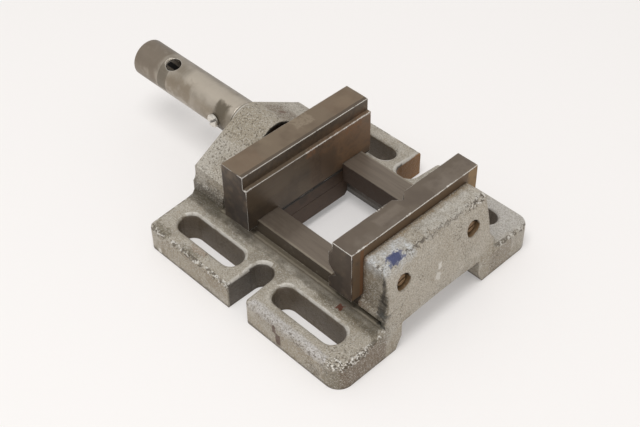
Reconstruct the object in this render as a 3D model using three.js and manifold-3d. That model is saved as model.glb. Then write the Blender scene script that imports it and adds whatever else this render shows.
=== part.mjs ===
// A drill-press vise: a flanged cast-iron bed with a fixed jaw, and a sliding jaw that is drawn
// along two rails by a spindle. The spindle does not turn. A nut turns on it inside the bed's
// rear boss, driven by the tubular handle sleeve that the nut carries outside the boss.
//
// Millimetres. +X runs along the spindle from the sleeve to the fixed jaw, +Y across the jaws and
// +Z up. The origin is under the middle of the overall length, on the surface the vise stands on.

import * as THREE from 'three';
import { mergeVertices } from 'three/addons/utils/BufferGeometryUtils.js';
import Module from 'manifold-3d';

const wasm = await Module();
wasm.setup();

// ---------------------------------------------------------------- driving dimensions

// Clearances
const seatGap = 0.3; // between pieces that are fastened face to face
const runGap = 0.3; // between pieces that slide or turn on each other
const railSideGap = 0.4; // jaw and slide block to the sides of the rails
const drillOverrun = 1; // how far a cutting tool runs past the face it opens

// Bed: flange
const baseLength = 157;
const baseWidth = 160;
const flangeEdgeThickness = 17.5;
const flangeRise = 2.8; // the flange thickens by this much from its edge to the bed
const flangeRounding = 2;
const rearCornerRadius = 4;
const frontCornerRadius = 9.5;
const slotWidth = 14.4;
const slotRearMargin = 11.2; // rear slot's end to the bed's rear end
const slotFrontMargin = 14.2; // front slot's end to the bed's front
const slotLand = 7.6; // metal between a slot and the notch
const slotInset = 17; // slot centre line to the flange's long edge
const notchMouthRadius = 2.5;
const notchOverrun = 2.5; // the notch ends this much nearer the bed than the slots' edges

// Bed: rails
const windowWidth = 52.6;
const windowOverrun = 9; // the window runs this far past the fixed jaw's face
const railWidth = 15.9;
const railHeight = 9.3; // above the ledge beside it
const ledgeWidth = 3.3;
const ledgeRise = 2.7; // above the flange at the bed's foot
const footSpread = 4; // width of the fillet from the ledge down to the flange
const lipThickness = 13.3; // rail top to the running face under the rail

// Bed: channel under the rails, open at the front between the two feet
const channelTopWidth = 64;
const channelBottomWidth = 72.6;
const channelShoulder = 1.5;
const channelFlareHeight = 9; // the walls stand upright above this and lean out below it
const archRise = 0.7;
const rearWallThickness = 8;

// Bed: rear boss, which holds the spindle nut
const bossLength = 26.4;
const bossShoulderRise = 7.3; // above the rail top
const bossCrownRadius = 14; // about the spindle axis
const bossRounding = 0.8;
const axisRise = 15.2; // spindle axis above the rail top

// Bed: block that carries the fixed jaw
const blockHeight = 28.1; // above the rail top
const blockFootLength = 20.65;
const blockTopLength = 12.6;
const blockTopWidth = 82;
const blockEndWall = 4; // end of the undercut below the skirt to the bed's front
const blockBackBulge = 5.6; // how far the back's curve bows out behind a straight slope
const blockSideRounding = 2;
const blockBackRounding = 1.5;

// Skirt that the boss and the block both flare out to, beside the rails
const skirtOverhang = 2.2; // past the side of the rail
const skirtDrop = 6; // foot of the skirt below the rail top
const skirtHeight = 3.2;
const skirtFlareHeight = 6.5;

// Jaws
const jawWidth = 99;
const jawRise = 34.7; // above the rail top
const movableThickness = 20;
const plateThickness = 16.9;
const rebateHeight = 8.3;
const rebateDepth = 2.7;
const railHug = 3.9; // how far the sliding jaw reaches down past the rail top
const openGap = 8.65; // sliding jaw's back to the boss, with the jaws at rest
const closedGap = 0.4; // left between the faces when the joint is fully closed
const groovePitchHeight = 12.4; // middle of the level groove above the rail top
const levelGrooveDepth = 5.1;
const uprightGrooveDepth = 7.3;

// Slide block and keeper plate under the sliding jaw
const keeperReach = 3.7; // how far the keeper catches under each rail
const keeperThickness = 12.5;
const keeperEdge = 2.4; // taken off the keeper's lower long edges
const clampScrewSpread = 28;
const clampScrewDepth = 12.6; // thread in the sliding jaw

// Spindle, nut and handle sleeve
const spindleDiameter = 14;
const spindleLead = 3;
const spindleTailChamfer = 1.4;
const threadEngagement = 14; // thread still in the nut when the jaws meet
const neckDiameter = 11;
const neckLength = 13;
const reliefLength = 3;
const reliefDepth = 1.2;
const spindlePinDiameter = 5;
const pinTopMargin = 3.5; // pin end past the far side of the neck
const nutDiameter = 20;
const nutThreadLength = 22;
const nutSpigotClearance = 0.8; // between the thread and the plain rear part of the nut
const nutSpigotPastScrew = 6;
const nutFlangeDiameter = 24;
const nutFlangeThickness = 5;
const nutRecess = 0.6; // flange front below the boss face
const frontWasherThickness = 2;
const rearWasherThickness = 1.5;
const sleeveDiameter = 24.5;
const sleeveLength = 92.2;
const sleeveChamfer = 0.8;
const sleeveScrewInset = 13.8;
const crossHoleDiameter = 10;
const crossHoleInset = 30.4;
const crossHoleLean = 15; // degrees from upright, towards -Y
const crossHoleCountersink = 0.9;

// Screws
const jawScrewDiameter = 6;
const jawScrewHeadDiameter = 9.2;
const jawScrewHeadHeight = 4;
const jawScrewSpread = 56;
const jawScrewRise = 12.3; // above the rail top
const jawScrewSeat = 8.8; // block face to the bottom of the counterbore
const jawScrewDepth = 8; // thread in the jaw plate
const jawScrewSlotTurn = 8; // degrees, each jaw screw's slot from level
const counterboreDiameter = 10.7;
const washerThickness = 1.6;
const washerOverhang = 0.2; // washer edge past the screw head
const clampScrewDiameter = 6;
const clampScrewHeadDiameter = 10;
const clampScrewHeadHeight = 3.6;
const clampCounterboreDiameter = 12;
const clampCounterboreDepth = 6.4;
const sleeveScrewDiameter = 4.8;
const sleeveScrewHeadDiameter = 8.6;
const sleeveScrewHeadHeight = 2;
const driverSlotWidth = 1.4;
const driverSlotDepth = 1.4;
const driverSlotTurn = 40; // degrees, sleeve screw's slot from the spindle axis

// ---------------------------------------------------------------- places worked out from them

const overallLength = sleeveLength + 2 * seatGap + rearWasherThickness + baseLength;
const bedFront = overallLength / 2;
const bedRear = bedFront - baseLength;
const bossFace = bedRear + bossLength;
const blockFace = bedFront - blockFootLength;
const fixedFace = blockFace - seatGap - plateThickness;
const movableBack = bossFace + openGap;
const movableFace = movableBack + movableThickness;
const windowFront = fixedFace + windowOverrun;

const windowHalf = windowWidth / 2;
const railOuter = windowHalf + railWidth;
const ledgeOuter = railOuter + ledgeWidth;
const skirtOuter = railOuter + skirtOverhang;
const bedHalf = ledgeOuter + footSpread;
const flangeHalf = baseWidth / 2;
const slotRow = flangeHalf - slotInset;
const slotLength = (baseLength - slotRearMargin - slotFrontMargin - slotWidth) / 2 - slotLand;
const slotPitch = slotLength + slotWidth + 2 * slotLand;
const slotCentre = bedRear + slotRearMargin + slotLength + slotLand + slotWidth / 2;

const flangeRoot = flangeEdgeThickness + flangeRise;
const ledgeTop = flangeRoot + ledgeRise;
const railTop = ledgeTop + railHeight;
const railUnderside = railTop - lipThickness;
const axisHeight = railTop + axisRise;
const blockTop = railTop + blockHeight;
const jawTop = railTop + jawRise;
const movableBottom = railTop - railHug;

const jawScrewHeight = railTop + jawScrewRise;
const jawScrewSeatFace = blockFace + jawScrewSeat;
const jawCentre = movableBack + movableThickness / 2;
const neckDepth = neckLength + seatGap;

const nutShoulder = bossFace - nutRecess - nutFlangeThickness - frontWasherThickness - 2 * runGap;
const nutFlangeBack = nutShoulder + frontWasherThickness + 2 * runGap;
const nutFront = nutFlangeBack + nutFlangeThickness;
const sleeveInner = bedRear - seatGap - rearWasherThickness - seatGap;
const sleeveOuter = sleeveInner - sleeveLength;
const sleeveScrewX = sleeveInner - sleeveScrewInset;
const nutRear = sleeveScrewX - nutSpigotPastScrew;
const sleeveBore = nutDiameter / 2 + seatGap;
const spigotBore = spindleDiameter / 2 + nutSpigotClearance;
const closingTravel = fixedFace - movableFace - closedGap;
const spindleTail = nutFront - threadEngagement - closingTravel;

const slideTop = movableBottom - seatGap;
const keeperTop = railUnderside - runGap;
const slideBottom = keeperTop + seatGap;
const keeperBottom = keeperTop - keeperThickness;
const clampScrewSeatFace = keeperBottom + clampCounterboreDepth;

// ---------------------------------------------------------------- materials

const castIron = { color: 0x8f8b80, roughness: 0.8, metalness: 0.25 };
const jawSteel = { color: 0x5a544d, roughness: 0.38, metalness: 0.95 };
const blackSteel = { color: 0x3b3733, roughness: 0.5, metalness: 0.9 };
const tubeSteel = { color: 0x8c877c, roughness: 0.42, metalness: 0.85 };
const brightSteel = { color: 0xb9b8b3, roughness: 0.3, metalness: 1 };

// ---------------------------------------------------------------- solids

/** Makes a manifold solid, faces out, from a closed three.js geometry. */
function solid(geometry) {
  const bare = geometry.clone();
  bare.deleteAttribute('normal');
  bare.deleteAttribute('uv');
  const merged = mergeVertices(bare, 1e-4);
  const corners = merged.index.array;
  const triangles = [];
  for (let i = 0; i < corners.length; i += 3) {
    const [a, b, c] = corners.subarray(i, i + 3);
    if (a !== b && b !== c && c !== a) {
      triangles.push([a, b, c]);
    }
  }
  const positions = Float32Array.from(merged.attributes.position.array);
  const inverted = signedVolume(positions, triangles) < 0;
  const ordered = inverted ? triangles.map(([a, b, c]) => [a, c, b]) : triangles;
  return new wasm.Manifold(new wasm.Mesh({
    numProp: 3,
    vertProperties: positions,
    triVerts: Uint32Array.from(ordered.flat()),
  }));
}

/** Volume enclosed by a triangle mesh, negative where its faces point inwards. */
function signedVolume(positions, triangles) {
  const corner = (i) => new THREE.Vector3().fromArray(positions, 3 * i);
  return triangles.reduce(
    (sum, [a, b, c]) => sum + corner(a).dot(corner(b).cross(corner(c))) / 6,
    0,
  );
}

/** Joins solids into one. */
function join(first, ...others) {
  return others.reduce((whole, other) => whole.add(other), first);
}

/** Cuts every tool away from a solid. */
function cut(body, ...tools) {
  return tools.reduce((rest, tool) => rest.subtract(tool), body);
}

/** A named mesh, in its own material, from a manifold solid. */
function piece(name, body, look) {
  const { vertProperties, triVerts } = body.getMesh();
  const geometry = new THREE.BufferGeometry();
  geometry.setAttribute('position', new THREE.BufferAttribute(vertProperties, 3));
  geometry.setIndex(new THREE.BufferAttribute(triVerts, 1));
  const flat = geometry.toNonIndexed();
  flat.computeVertexNormals();
  const mesh = new THREE.Mesh(flat, new THREE.MeshStandardMaterial(look));
  mesh.name = name;
  return mesh;
}

/** Extrudes a shape and turns its axes: the shape's x and y and the extrusion go along the basis. */
function extrude(shape, depth, basis, origin) {
  const geometry = new THREE.ExtrudeGeometry(shape, { depth, bevelEnabled: false, curveSegments: 10 });
  geometry.applyMatrix4(new THREE.Matrix4().makeBasis(...basis).setPosition(...origin));
  return solid(geometry);
}

const X = new THREE.Vector3(1, 0, 0);
const Y = new THREE.Vector3(0, 1, 0);
const Z = new THREE.Vector3(0, 0, 1);

/** A section drawn in Y and Z, extruded from one X to another. */
function alongX(section, from, to) {
  return extrude(section, to - from, [Y, Z, X], [from, 0, 0]);
}

/** A side view drawn in X and Z, extruded from one Y to another. */
function alongY(section, from, to) {
  return extrude(section, to - from, [X, Z, Y.clone().negate()], [0, to, 0]);
}

/** A box between two corners. */
function block(low, high) {
  const size = high.map((value, i) => value - low[i]);
  const middle = high.map((value, i) => (value + low[i]) / 2);
  return solid(new THREE.BoxGeometry(...size).translate(...middle));
}

/** A solid of revolution about an axis through a point: its profile is [radius, height] pairs. */
function turned(profile, axis, origin, sides = 40) {
  const points = profile.map(([radius, height]) => new THREE.Vector2(radius, height));
  const geometry = new THREE.LatheGeometry(points, sides);
  geometry.applyQuaternion(new THREE.Quaternion().setFromUnitVectors(Y, axis));
  return solid(geometry.translate(...origin));
}

/** A plain round bar about an axis, between two heights above its origin. */
function bar(radius, from, to, axis, origin, sides = 40) {
  return turned([[0, from], [radius, from], [radius, to], [0, to]], axis, origin, sides);
}

/** A ring of square section about an axis. */
function ring(inner, outer, from, to, axis, origin, sides = 40) {
  const profile = [[inner, from], [outer, from], [outer, to], [inner, to], [inner, from]];
  return turned(profile, axis, origin, sides);
}

/** Completes the right half of an outline, drawn from bottom to top, with its mirror image. */
function mirrored(half) {
  const right = half.getPoints(8);
  const left = right.filter((point) => point.x > 1e-6).map((point) => new THREE.Vector2(-point.x, point.y));
  return new THREE.Shape([...right, ...left.reverse()]);
}

/** A closed shape through points given as [x, y] pairs. */
function polygon(points) {
  return new THREE.Shape(points.map(([x, y]) => new THREE.Vector2(x, y)));
}

// ---------------------------------------------------------------- bed

/** A slot with round ends, along X. */
function slotOutline(x, y) {
  const radius = slotWidth / 2;
  const reach = slotLength / 2 - radius;
  const path = new THREE.Path();
  path.absarc(x + reach, y, radius, -Math.PI / 2, Math.PI / 2, false);
  path.absarc(x - reach, y, radius, Math.PI / 2, 3 * Math.PI / 2, false);
  return path;
}

/** Plan of the flange on the +Y side: two slots, and between them a notch open to the side. */
function flangeOutline() {
  const radius = slotWidth / 2;
  const inner = windowHalf + railWidth / 2;
  const mouth = notchMouthRadius;
  const shape = new THREE.Shape();
  shape.moveTo(bedRear, inner);
  shape.lineTo(bedFront, inner);
  shape.absarc(bedFront - frontCornerRadius, flangeHalf - frontCornerRadius,
    frontCornerRadius, 0, Math.PI / 2, false);
  shape.absarc(slotCentre + radius + mouth, flangeHalf - mouth, mouth, Math.PI / 2, Math.PI, false);
  shape.absarc(slotCentre, slotRow - notchOverrun, radius, 0, Math.PI, true);
  shape.lineTo(slotCentre - radius, flangeHalf);
  shape.absarc(bedRear + rearCornerRadius, flangeHalf - rearCornerRadius,
    rearCornerRadius, Math.PI / 2, Math.PI, false);
  shape.closePath();
  for (const side of [-1, 1]) {
    shape.holes.push(slotOutline(slotCentre + side * slotPitch / 2, slotRow));
  }
  return shape;
}

/** Extrudes a shape along Z with both its ends rounded over. */
function rounded(shape, length, radius) {
  return new THREE.ExtrudeGeometry(shape, {
    depth: length - 2 * radius,
    bevelThickness: radius,
    bevelSize: radius,
    bevelOffset: -radius,
    bevelSegments: 3,
    curveSegments: 8,
  }).translate(0, 0, radius);
}

/** A section drawn in Y and Z, extruded from one X to another with its ends rounded over. */
function roundedAlongX(section, from, to, radius) {
  const turn = new THREE.Matrix4().makeBasis(Y, Z, X).setPosition(from, 0, 0);
  return solid(rounded(section, to - from, radius).applyMatrix4(turn));
}

/** One flange, with rounded upper edges and a top that rises towards the bed. */
function flange(side) {
  const height = flangeEdgeThickness + 2 * flangeRounding;
  const geometry = rounded(flangeOutline(), height, flangeRounding);
  geometry.translate(0, 0, -2 * flangeRounding);
  const position = geometry.attributes.position;
  const risePerWidth = flangeRise / (flangeHalf - bedHalf);
  for (let i = 0; i < position.count; i += 1) {
    const rise = risePerWidth * (flangeHalf - position.getY(i));
    const lift = 1 + rise / flangeEdgeThickness;
    position.setY(i, side * position.getY(i));
    position.setZ(i, position.getZ(i) * lift);
  }
  return solid(geometry);
}

/** Middle of the bed between the flanges: foot fillet, ledge and rail on each side. */
function bedMiddle() {
  const half = new THREE.Path();
  half.moveTo(bedHalf, -flangeRounding);
  half.lineTo(bedHalf, flangeRoot);
  half.quadraticCurveTo(ledgeOuter, flangeRoot, ledgeOuter, ledgeTop);
  half.lineTo(railOuter, ledgeTop);
  half.lineTo(railOuter, railTop);
  return roundedAlongX(mirrored(half), bedRear, bedFront, flangeRounding);
}

/** Starts a section beside a rail: up from the foot, out round the skirt and in to the side above. */
function skirted(foot, sideAbove) {
  const skirtFoot = railTop - skirtDrop;
  const flareFoot = skirtFoot + skirtHeight;
  const flareTop = flareFoot + skirtFlareHeight;
  const half = new THREE.Path();
  half.moveTo(foot, flangeEdgeThickness);
  half.lineTo(foot, skirtFoot);
  half.lineTo(skirtOuter, skirtFoot);
  half.lineTo(skirtOuter, flareFoot);
  half.quadraticCurveTo(sideAbove, flareFoot + skirtFlareHeight / 4, sideAbove, flareTop);
  return half;
}

/** Rear boss: skirted sides, sloping shoulders and a crown round the spindle. */
function rearBoss() {
  const shoulder = new THREE.Vector2(railOuter, railTop + bossShoulderRise);
  const toShoulder = shoulder.clone().sub(new THREE.Vector2(0, axisHeight));
  const tangent = toShoulder.angle() + Math.acos(bossCrownRadius / toShoulder.length());
  const half = skirted(skirtOuter, railOuter);
  half.lineTo(shoulder.x, shoulder.y);
  half.absarc(0, axisHeight, bossCrownRadius, tangent - 2 * Math.PI, Math.PI / 2, false);
  return roundedAlongX(mirrored(half), bedRear, bossFace, bossRounding);
}

/** Back of the block: it bows up from the bed's front face and rounds into the level top. */
function blockBack(path) {
  const backTop = blockFace + blockTopLength;
  const middle = (blockTop + flangeRoot) / 2;
  const round = blockBackRounding;
  path.quadraticCurveTo(
    backTop + blockBackBulge, middle + 1.5 * blockBackBulge, backTop, blockTop - round,
  );
  path.quadraticCurveTo(backTop - round / 2, blockTop, backTop - 1.5 * round, blockTop);
}

/** Part of the block behind the fixed jaw, from one X to the bed's front, before its back is trimmed. */
function blockPart(foot, from) {
  const half = skirted(foot, blockTopWidth / 2);
  half.lineTo(blockTopWidth / 2, blockTop - blockSideRounding);
  half.quadraticCurveTo(
    blockTopWidth / 2, blockTop, blockTopWidth / 2 - blockSideRounding, blockTop,
  );
  return alongX(mirrored(half), from, bedFront);
}

/** Cutter that bows the back of the block, down to the height of the flange's edge. */
function backTrimmer() {
  const shape = new THREE.Shape();
  shape.moveTo(bedFront, flangeEdgeThickness);
  blockBack(shape);
  shape.lineTo(blockFace + blockTopLength - 1.5 * blockBackRounding, blockTop + drillOverrun);
  shape.lineTo(bedFront + drillOverrun, blockTop + drillOverrun);
  shape.lineTo(bedFront + drillOverrun, flangeEdgeThickness);
  shape.closePath();
  return alongY(shape, -bedHalf, bedHalf);
}

/** Section of the channel under the bed: walls that flare at the foot, two running faces, an arch. */
function channelSection() {
  const wall = channelTopWidth / 2;
  const half = new THREE.Path();
  half.moveTo(channelBottomWidth / 2, -drillOverrun);
  half.lineTo(channelBottomWidth / 2, 0);
  half.lineTo(wall, channelFlareHeight);
  half.lineTo(wall, railUnderside - channelShoulder);
  half.quadraticCurveTo(wall, railUnderside, wall - channelShoulder, railUnderside);
  half.lineTo(windowHalf, railUnderside);
  half.quadraticCurveTo(windowHalf / 2, railUnderside + archRise, 0, railUnderside + archRise);
  return mirrored(half);
}

/** Bore and counterbore for the nut, and the screw holes of the fixed jaw. */
function bedBores() {
  const onAxis = [0, 0, axisHeight];
  const bores = [
    bar(nutDiameter / 2 + runGap, bedRear - drillOverrun, bossFace, X, onAxis),
    bar(nutFlangeDiameter / 2 + runGap, nutShoulder, bossFace + drillOverrun, X, onAxis),
  ];
  for (const side of [-1, 1]) {
    const onScrew = [0, side * jawScrewSpread / 2, jawScrewHeight];
    bores.push(
      bar(jawScrewDiameter / 2 + seatGap, blockFace - drillOverrun, bedFront, X, onScrew, 24),
      bar(counterboreDiameter / 2, jawScrewSeatFace, bedFront + drillOverrun, X, onScrew, 32),
    );
  }
  return bores;
}

/** The cast-iron bed. */
function bed() {
  const window = block(
    [bossFace, -windowHalf, -drillOverrun],
    [windowFront, windowHalf, railTop + drillOverrun],
  );
  const channel = alongX(channelSection(), bedRear + rearWallThickness, bedFront + drillOverrun);
  const floor = block([bedRear, -flangeHalf, -flangeHalf], [bedFront, flangeHalf, 0]);
  const casting = join(
    bedMiddle(),
    flange(1),
    flange(-1),
    rearBoss(),
    blockPart(railOuter, blockFace),
    blockPart(skirtOuter, bedFront - blockEndWall),
  );
  return cut(casting, floor, backTrimmer(), channel, window, ...bedBores());
}

// ---------------------------------------------------------------- jaws

/** Side view of a jaw with a rebate along its top: heights up from a foot, depth from its face. */
function jawSideView(face, back, foot) {
  const step = jawTop - rebateHeight;
  const inward = Math.sign(back - face) * rebateDepth;
  return polygon([
    [back, foot],
    [face, foot],
    [face, step],
    [face + inward, step],
    [face + inward, jawTop],
    [back, jawTop],
  ]);
}

/** A right-angled V groove across the fixed jaw's face, as a prism's section, open towards -X. */
function grooveSection(middle, depth) {
  const open = depth + drillOverrun;
  return polygon([
    [fixedFace + depth, middle],
    [fixedFace - drillOverrun, middle - open],
    [fixedFace - drillOverrun, middle + open],
  ]);
}

/** Hardened plate of the fixed jaw, with a level and an upright V groove for round work. */
function fixedJawPlate() {
  const foot = railTop + seatGap;
  const back = blockFace - seatGap;
  const half = jawWidth / 2;
  const plate = alongY(jawSideView(fixedFace, back, foot), -half, half);
  const level = alongY(grooveSection(railTop + groovePitchHeight, levelGrooveDepth), -jawWidth, jawWidth);
  const upright = extrude(grooveSection(0, uprightGrooveDepth), jawTop, [X, Y, Z], [0, 0, railTop]);
  const threads = [-1, 1].map((side) => bar(
    jawScrewDiameter / 2 + seatGap, back - jawScrewDepth - seatGap, back + drillOverrun, X,
    [0, side * jawScrewSpread / 2, jawScrewHeight], 24,
  ));
  return cut(plate, level, upright, ...threads);
}

/** The sliding jaw: it straddles both rails and is bored for the spindle's neck. */
function movableJaw() {
  const half = jawWidth / 2;
  const body = alongY(jawSideView(movableFace, movableBack, movableBottom), -half, half);
  const railGrooves = [-1, 1].map((side) => {
    const edges = [side * (windowHalf - railSideGap), side * (railOuter + railSideGap)].sort((a, b) => a - b);
    return block(
      [movableBack - drillOverrun, edges[0], movableBottom - drillOverrun],
      [movableFace + drillOverrun, edges[1], railTop + runGap],
    );
  });
  const neckBore = bar(neckDiameter / 2 + seatGap, movableBack - drillOverrun, movableBack + neckDepth, X,
    [0, 0, axisHeight], 32);
  const pinHole = bar(spindlePinDiameter / 2 + seatGap, movableBottom - drillOverrun,
    axisHeight + neckDiameter / 2 + pinTopMargin + seatGap, Z, [pinCentre(), 0, 0], 24);
  const threads = [-1, 1].map((side) => bar(
    clampScrewDiameter / 2 + seatGap, movableBottom - drillOverrun,
    movableBottom + clampScrewDepth + seatGap, Z, [jawCentre, side * clampScrewSpread / 2, 0], 24,
  ));
  return cut(body, ...railGrooves, neckBore, pinHole, ...threads);
}

/** The pin crosses the middle of the spindle's neck. */
function pinCentre() {
  return movableBack + neckLength / 2;
}

/** Holes through the slide block and the keeper plate for the two clamp screws. */
function clampHoles() {
  return [-1, 1].map((side) => bar(
    clampScrewDiameter / 2 + seatGap, keeperBottom - drillOverrun, slideTop + drillOverrun, Z,
    [jawCentre, side * clampScrewSpread / 2, 0], 24,
  ));
}

/** Block that guides the sliding jaw between the rails. */
function slideBlock() {
  const half = windowHalf - railSideGap;
  const body = block([movableBack, -half, slideBottom], [movableFace, half, slideTop]);
  return cut(body, ...clampHoles());
}

/** Plate under the slide block that catches under both rails, with its clamp screws let in. */
function keeperPlate() {
  const half = windowHalf + keeperReach;
  const section = new THREE.Path();
  section.moveTo(half - keeperEdge, keeperBottom);
  section.lineTo(half, keeperBottom + keeperEdge);
  section.lineTo(half, keeperTop);
  const counterbores = [-1, 1].map((side) => bar(
    clampCounterboreDiameter / 2, keeperBottom - drillOverrun, clampScrewSeatFace, Z,
    [jawCentre, side * clampScrewSpread / 2, 0], 32,
  ));
  const body = alongX(mirrored(section), movableBack, movableFace);
  return cut(body, ...clampHoles(), ...counterbores);
}

// ---------------------------------------------------------------- spindle, nut and handle

/** The spindle: a screw with a relief behind its shoulder and a neck that is pinned in the jaw. */
function spindle() {
  const radius = spindleDiameter / 2;
  const neck = neckDiameter / 2;
  const shoulder = movableBack - seatGap;
  const body = turned([
    [0, spindleTail],
    [radius - spindleTailChamfer, spindleTail],
    [radius, spindleTail + spindleTailChamfer],
    [radius, shoulder - 2 * reliefLength],
    [radius - reliefDepth, shoulder - 2 * reliefLength],
    [radius - reliefDepth, shoulder - reliefLength],
    [radius, shoulder - reliefLength],
    [radius, shoulder],
    [neck, shoulder],
    [neck, movableBack + neckLength],
    [0, movableBack + neckLength],
  ], X, [0, 0, axisHeight]);
  const crossHole = bar(spindlePinDiameter / 2 + seatGap, -spindleDiameter, spindleDiameter, Z,
    [pinCentre(), 0, axisHeight], 24);
  return cut(body, crossHole);
}

/** Pin that keeps the spindle in the jaw and stops it turning, put in from below. */
function spindlePin() {
  const top = axisHeight + neckDiameter / 2 + pinTopMargin;
  return bar(spindlePinDiameter / 2, movableBottom, top, Z, [pinCentre(), 0, 0], 24);
}

/** Radial hole for the sleeve screw, from the axis out towards -Y. */
function sleeveScrewHole() {
  return bar(sleeveScrewDiameter / 2 + seatGap, 0, sleeveDiameter, Y.clone().negate(),
    [sleeveScrewX, 0, axisHeight], 24);
}

/** The nut: flange in the boss, thread on the spindle, and a spigot that carries the sleeve. */
function spindleNut() {
  const threadBore = spindleDiameter / 2 + runGap;
  const body = nutDiameter / 2;
  const flangeRadius = nutFlangeDiameter / 2;
  const threadRear = nutFront - nutThreadLength;
  const profile = [
    [spigotBore, nutRear],
    [body - sleeveChamfer, nutRear],
    [body, nutRear + sleeveChamfer],
    [body, nutFlangeBack],
    [flangeRadius, nutFlangeBack],
    [flangeRadius, nutFront],
    [threadBore, nutFront],
    [threadBore, threadRear],
    [spigotBore, threadRear],
    [spigotBore, nutRear],
  ];
  return cut(turned(profile, X, [0, 0, axisHeight]), sleeveScrewHole());
}

/** Washer between the nut's flange and the shoulder in the boss. */
function frontThrustWasher() {
  return ring(nutDiameter / 2 + runGap, nutFlangeDiameter / 2, nutShoulder + runGap,
    nutFlangeBack - runGap, X, [0, 0, axisHeight]);
}

/** Washer between the sleeve and the back of the bed. */
function rearThrustWasher() {
  return ring(nutDiameter / 2 + runGap, sleeveDiameter / 2, sleeveInner + seatGap,
    bedRear - seatGap, X, [0, 0, axisHeight]);
}

/** Cutter for the tommy-bar hole: a drill with a countersink at each side of the sleeve. */
function crossDrill() {
  const hole = crossHoleDiameter / 2;
  const mouth = hole + crossHoleCountersink;
  const outside = sleeveDiameter / 2;
  const lean = THREE.MathUtils.degToRad(crossHoleLean);
  const axis = new THREE.Vector3(0, -Math.sin(lean), Math.cos(lean));
  const profile = [
    [0, -outside - 1],
    [mouth + 1, -outside - 1],
    [hole, crossHoleCountersink - outside],
    [hole, outside - crossHoleCountersink],
    [mouth + 1, outside + 1],
    [0, outside + 1],
  ];
  return turned(profile, axis, [sleeveOuter + crossHoleInset, 0, axisHeight], 32);
}

/** The handle sleeve: a tube screwed to the nut's spigot, with a hole for a tommy bar. */
function handleSleeve() {
  const outer = sleeveDiameter / 2;
  const edge = sleeveChamfer;
  const tube = turned([
    [sleeveBore, sleeveOuter],
    [outer - edge, sleeveOuter],
    [outer, sleeveOuter + edge],
    [outer, sleeveInner - edge],
    [outer - edge, sleeveInner],
    [sleeveBore, sleeveInner],
    [sleeveBore, sleeveOuter],
  ], X, [0, 0, axisHeight], 48);
  return cut(tube, crossDrill(), sleeveScrewHole());
}

// ---------------------------------------------------------------- screws

/** A slotted screw: shank from 0 down to -length, head from 0 up. Turned to its axis by place. */
function slottedScrew(sizes, axis, origin, slotDirection) {
  const { shank, length, head, height } = sizes;
  const round = height / 3;
  const body = turned([
    [0, -length],
    [shank, -length],
    [shank, 0],
    [head, 0],
    [head, height - round],
    [head - round, height],
    [0, height],
  ], axis, origin, 24);
  const across = slotDirection.clone().normalize();
  const side = new THREE.Vector3().crossVectors(axis, across);
  const slot = new THREE.BoxGeometry(3 * head, driverSlotWidth, 2 * driverSlotDepth);
  slot.applyMatrix4(new THREE.Matrix4().makeBasis(across, side, axis));
  const top = new THREE.Vector3(...origin).addScaledVector(axis, height);
  return cut(body, solid(slot.translate(top.x, top.y, top.z)));
}

/** Screw that holds the fixed jaw's plate, in from the back of the block. */
function fixedJawScrew(side) {
  const seat = jawScrewSeatFace + seatGap + washerThickness + seatGap;
  const sizes = {
    shank: jawScrewDiameter / 2,
    length: seat - (blockFace - seatGap - jawScrewDepth),
    head: jawScrewHeadDiameter / 2,
    height: jawScrewHeadHeight,
  };
  const turn = THREE.MathUtils.degToRad(jawScrewSlotTurn);
  const slotDirection = new THREE.Vector3(0, Math.cos(turn), Math.sin(turn));
  return slottedScrew(sizes, X, [seat, side * jawScrewSpread / 2, jawScrewHeight], slotDirection);
}

/** Spring washer under that screw's head. */
function fixedJawWasher(side) {
  const from = jawScrewSeatFace + seatGap;
  return ring(jawScrewDiameter / 2 + seatGap, jawScrewHeadDiameter / 2 + washerOverhang, from,
    from + washerThickness, X, [0, side * jawScrewSpread / 2, jawScrewHeight], 24);
}

/** Screw that clamps the keeper and the slide block to the sliding jaw, in from below. */
function clampScrew(side) {
  const seat = clampScrewSeatFace - seatGap - washerThickness - seatGap;
  const sizes = {
    shank: clampScrewDiameter / 2,
    length: movableBottom + clampScrewDepth - seat,
    head: clampScrewHeadDiameter / 2,
    height: clampScrewHeadHeight,
  };
  return slottedScrew(sizes, Z.clone().negate(), [jawCentre, side * clampScrewSpread / 2, seat], Y);
}

/** Spring washer under that screw's head. */
function clampWasher(side) {
  const from = clampScrewSeatFace - seatGap - washerThickness;
  return ring(clampScrewDiameter / 2 + seatGap, clampScrewHeadDiameter / 2 + washerOverhang, from,
    from + washerThickness, Z, [jawCentre, side * clampScrewSpread / 2, 0], 24);
}

/** Screw through the sleeve into the nut's spigot, on the -Y side. */
function sleeveScrew() {
  const seat = sleeveDiameter / 2 + seatGap;
  const sizes = {
    shank: sleeveScrewDiameter / 2,
    length: seat - spigotBore - seatGap,
    head: sleeveScrewHeadDiameter / 2,
    height: sleeveScrewHeadHeight,
  };
  const turn = THREE.MathUtils.degToRad(driverSlotTurn);
  const slotDirection = new THREE.Vector3(Math.cos(turn), 0, Math.sin(turn));
  return slottedScrew(sizes, Y.clone().negate(), [sleeveScrewX, -seat, axisHeight], slotDirection);
}

// ---------------------------------------------------------------- assembly

/** Everything that stands still. */
function bedGroup() {
  const group = new THREE.Group();
  group.add(
    piece('base_casting', bed(), castIron),
    piece('fixed_jaw_plate', fixedJawPlate(), jawSteel),
    piece('front_thrust_washer', frontThrustWasher(), brightSteel),
    piece('rear_thrust_washer', rearThrustWasher(), brightSteel),
  );
  for (const [hand, side] of [['left', -1], ['right', 1]]) {
    group.add(
      piece(`fixed_jaw_screw_${hand}`, fixedJawScrew(side), blackSteel),
      piece(`fixed_jaw_washer_${hand}`, fixedJawWasher(side), blackSteel),
    );
  }
  return group;
}

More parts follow.
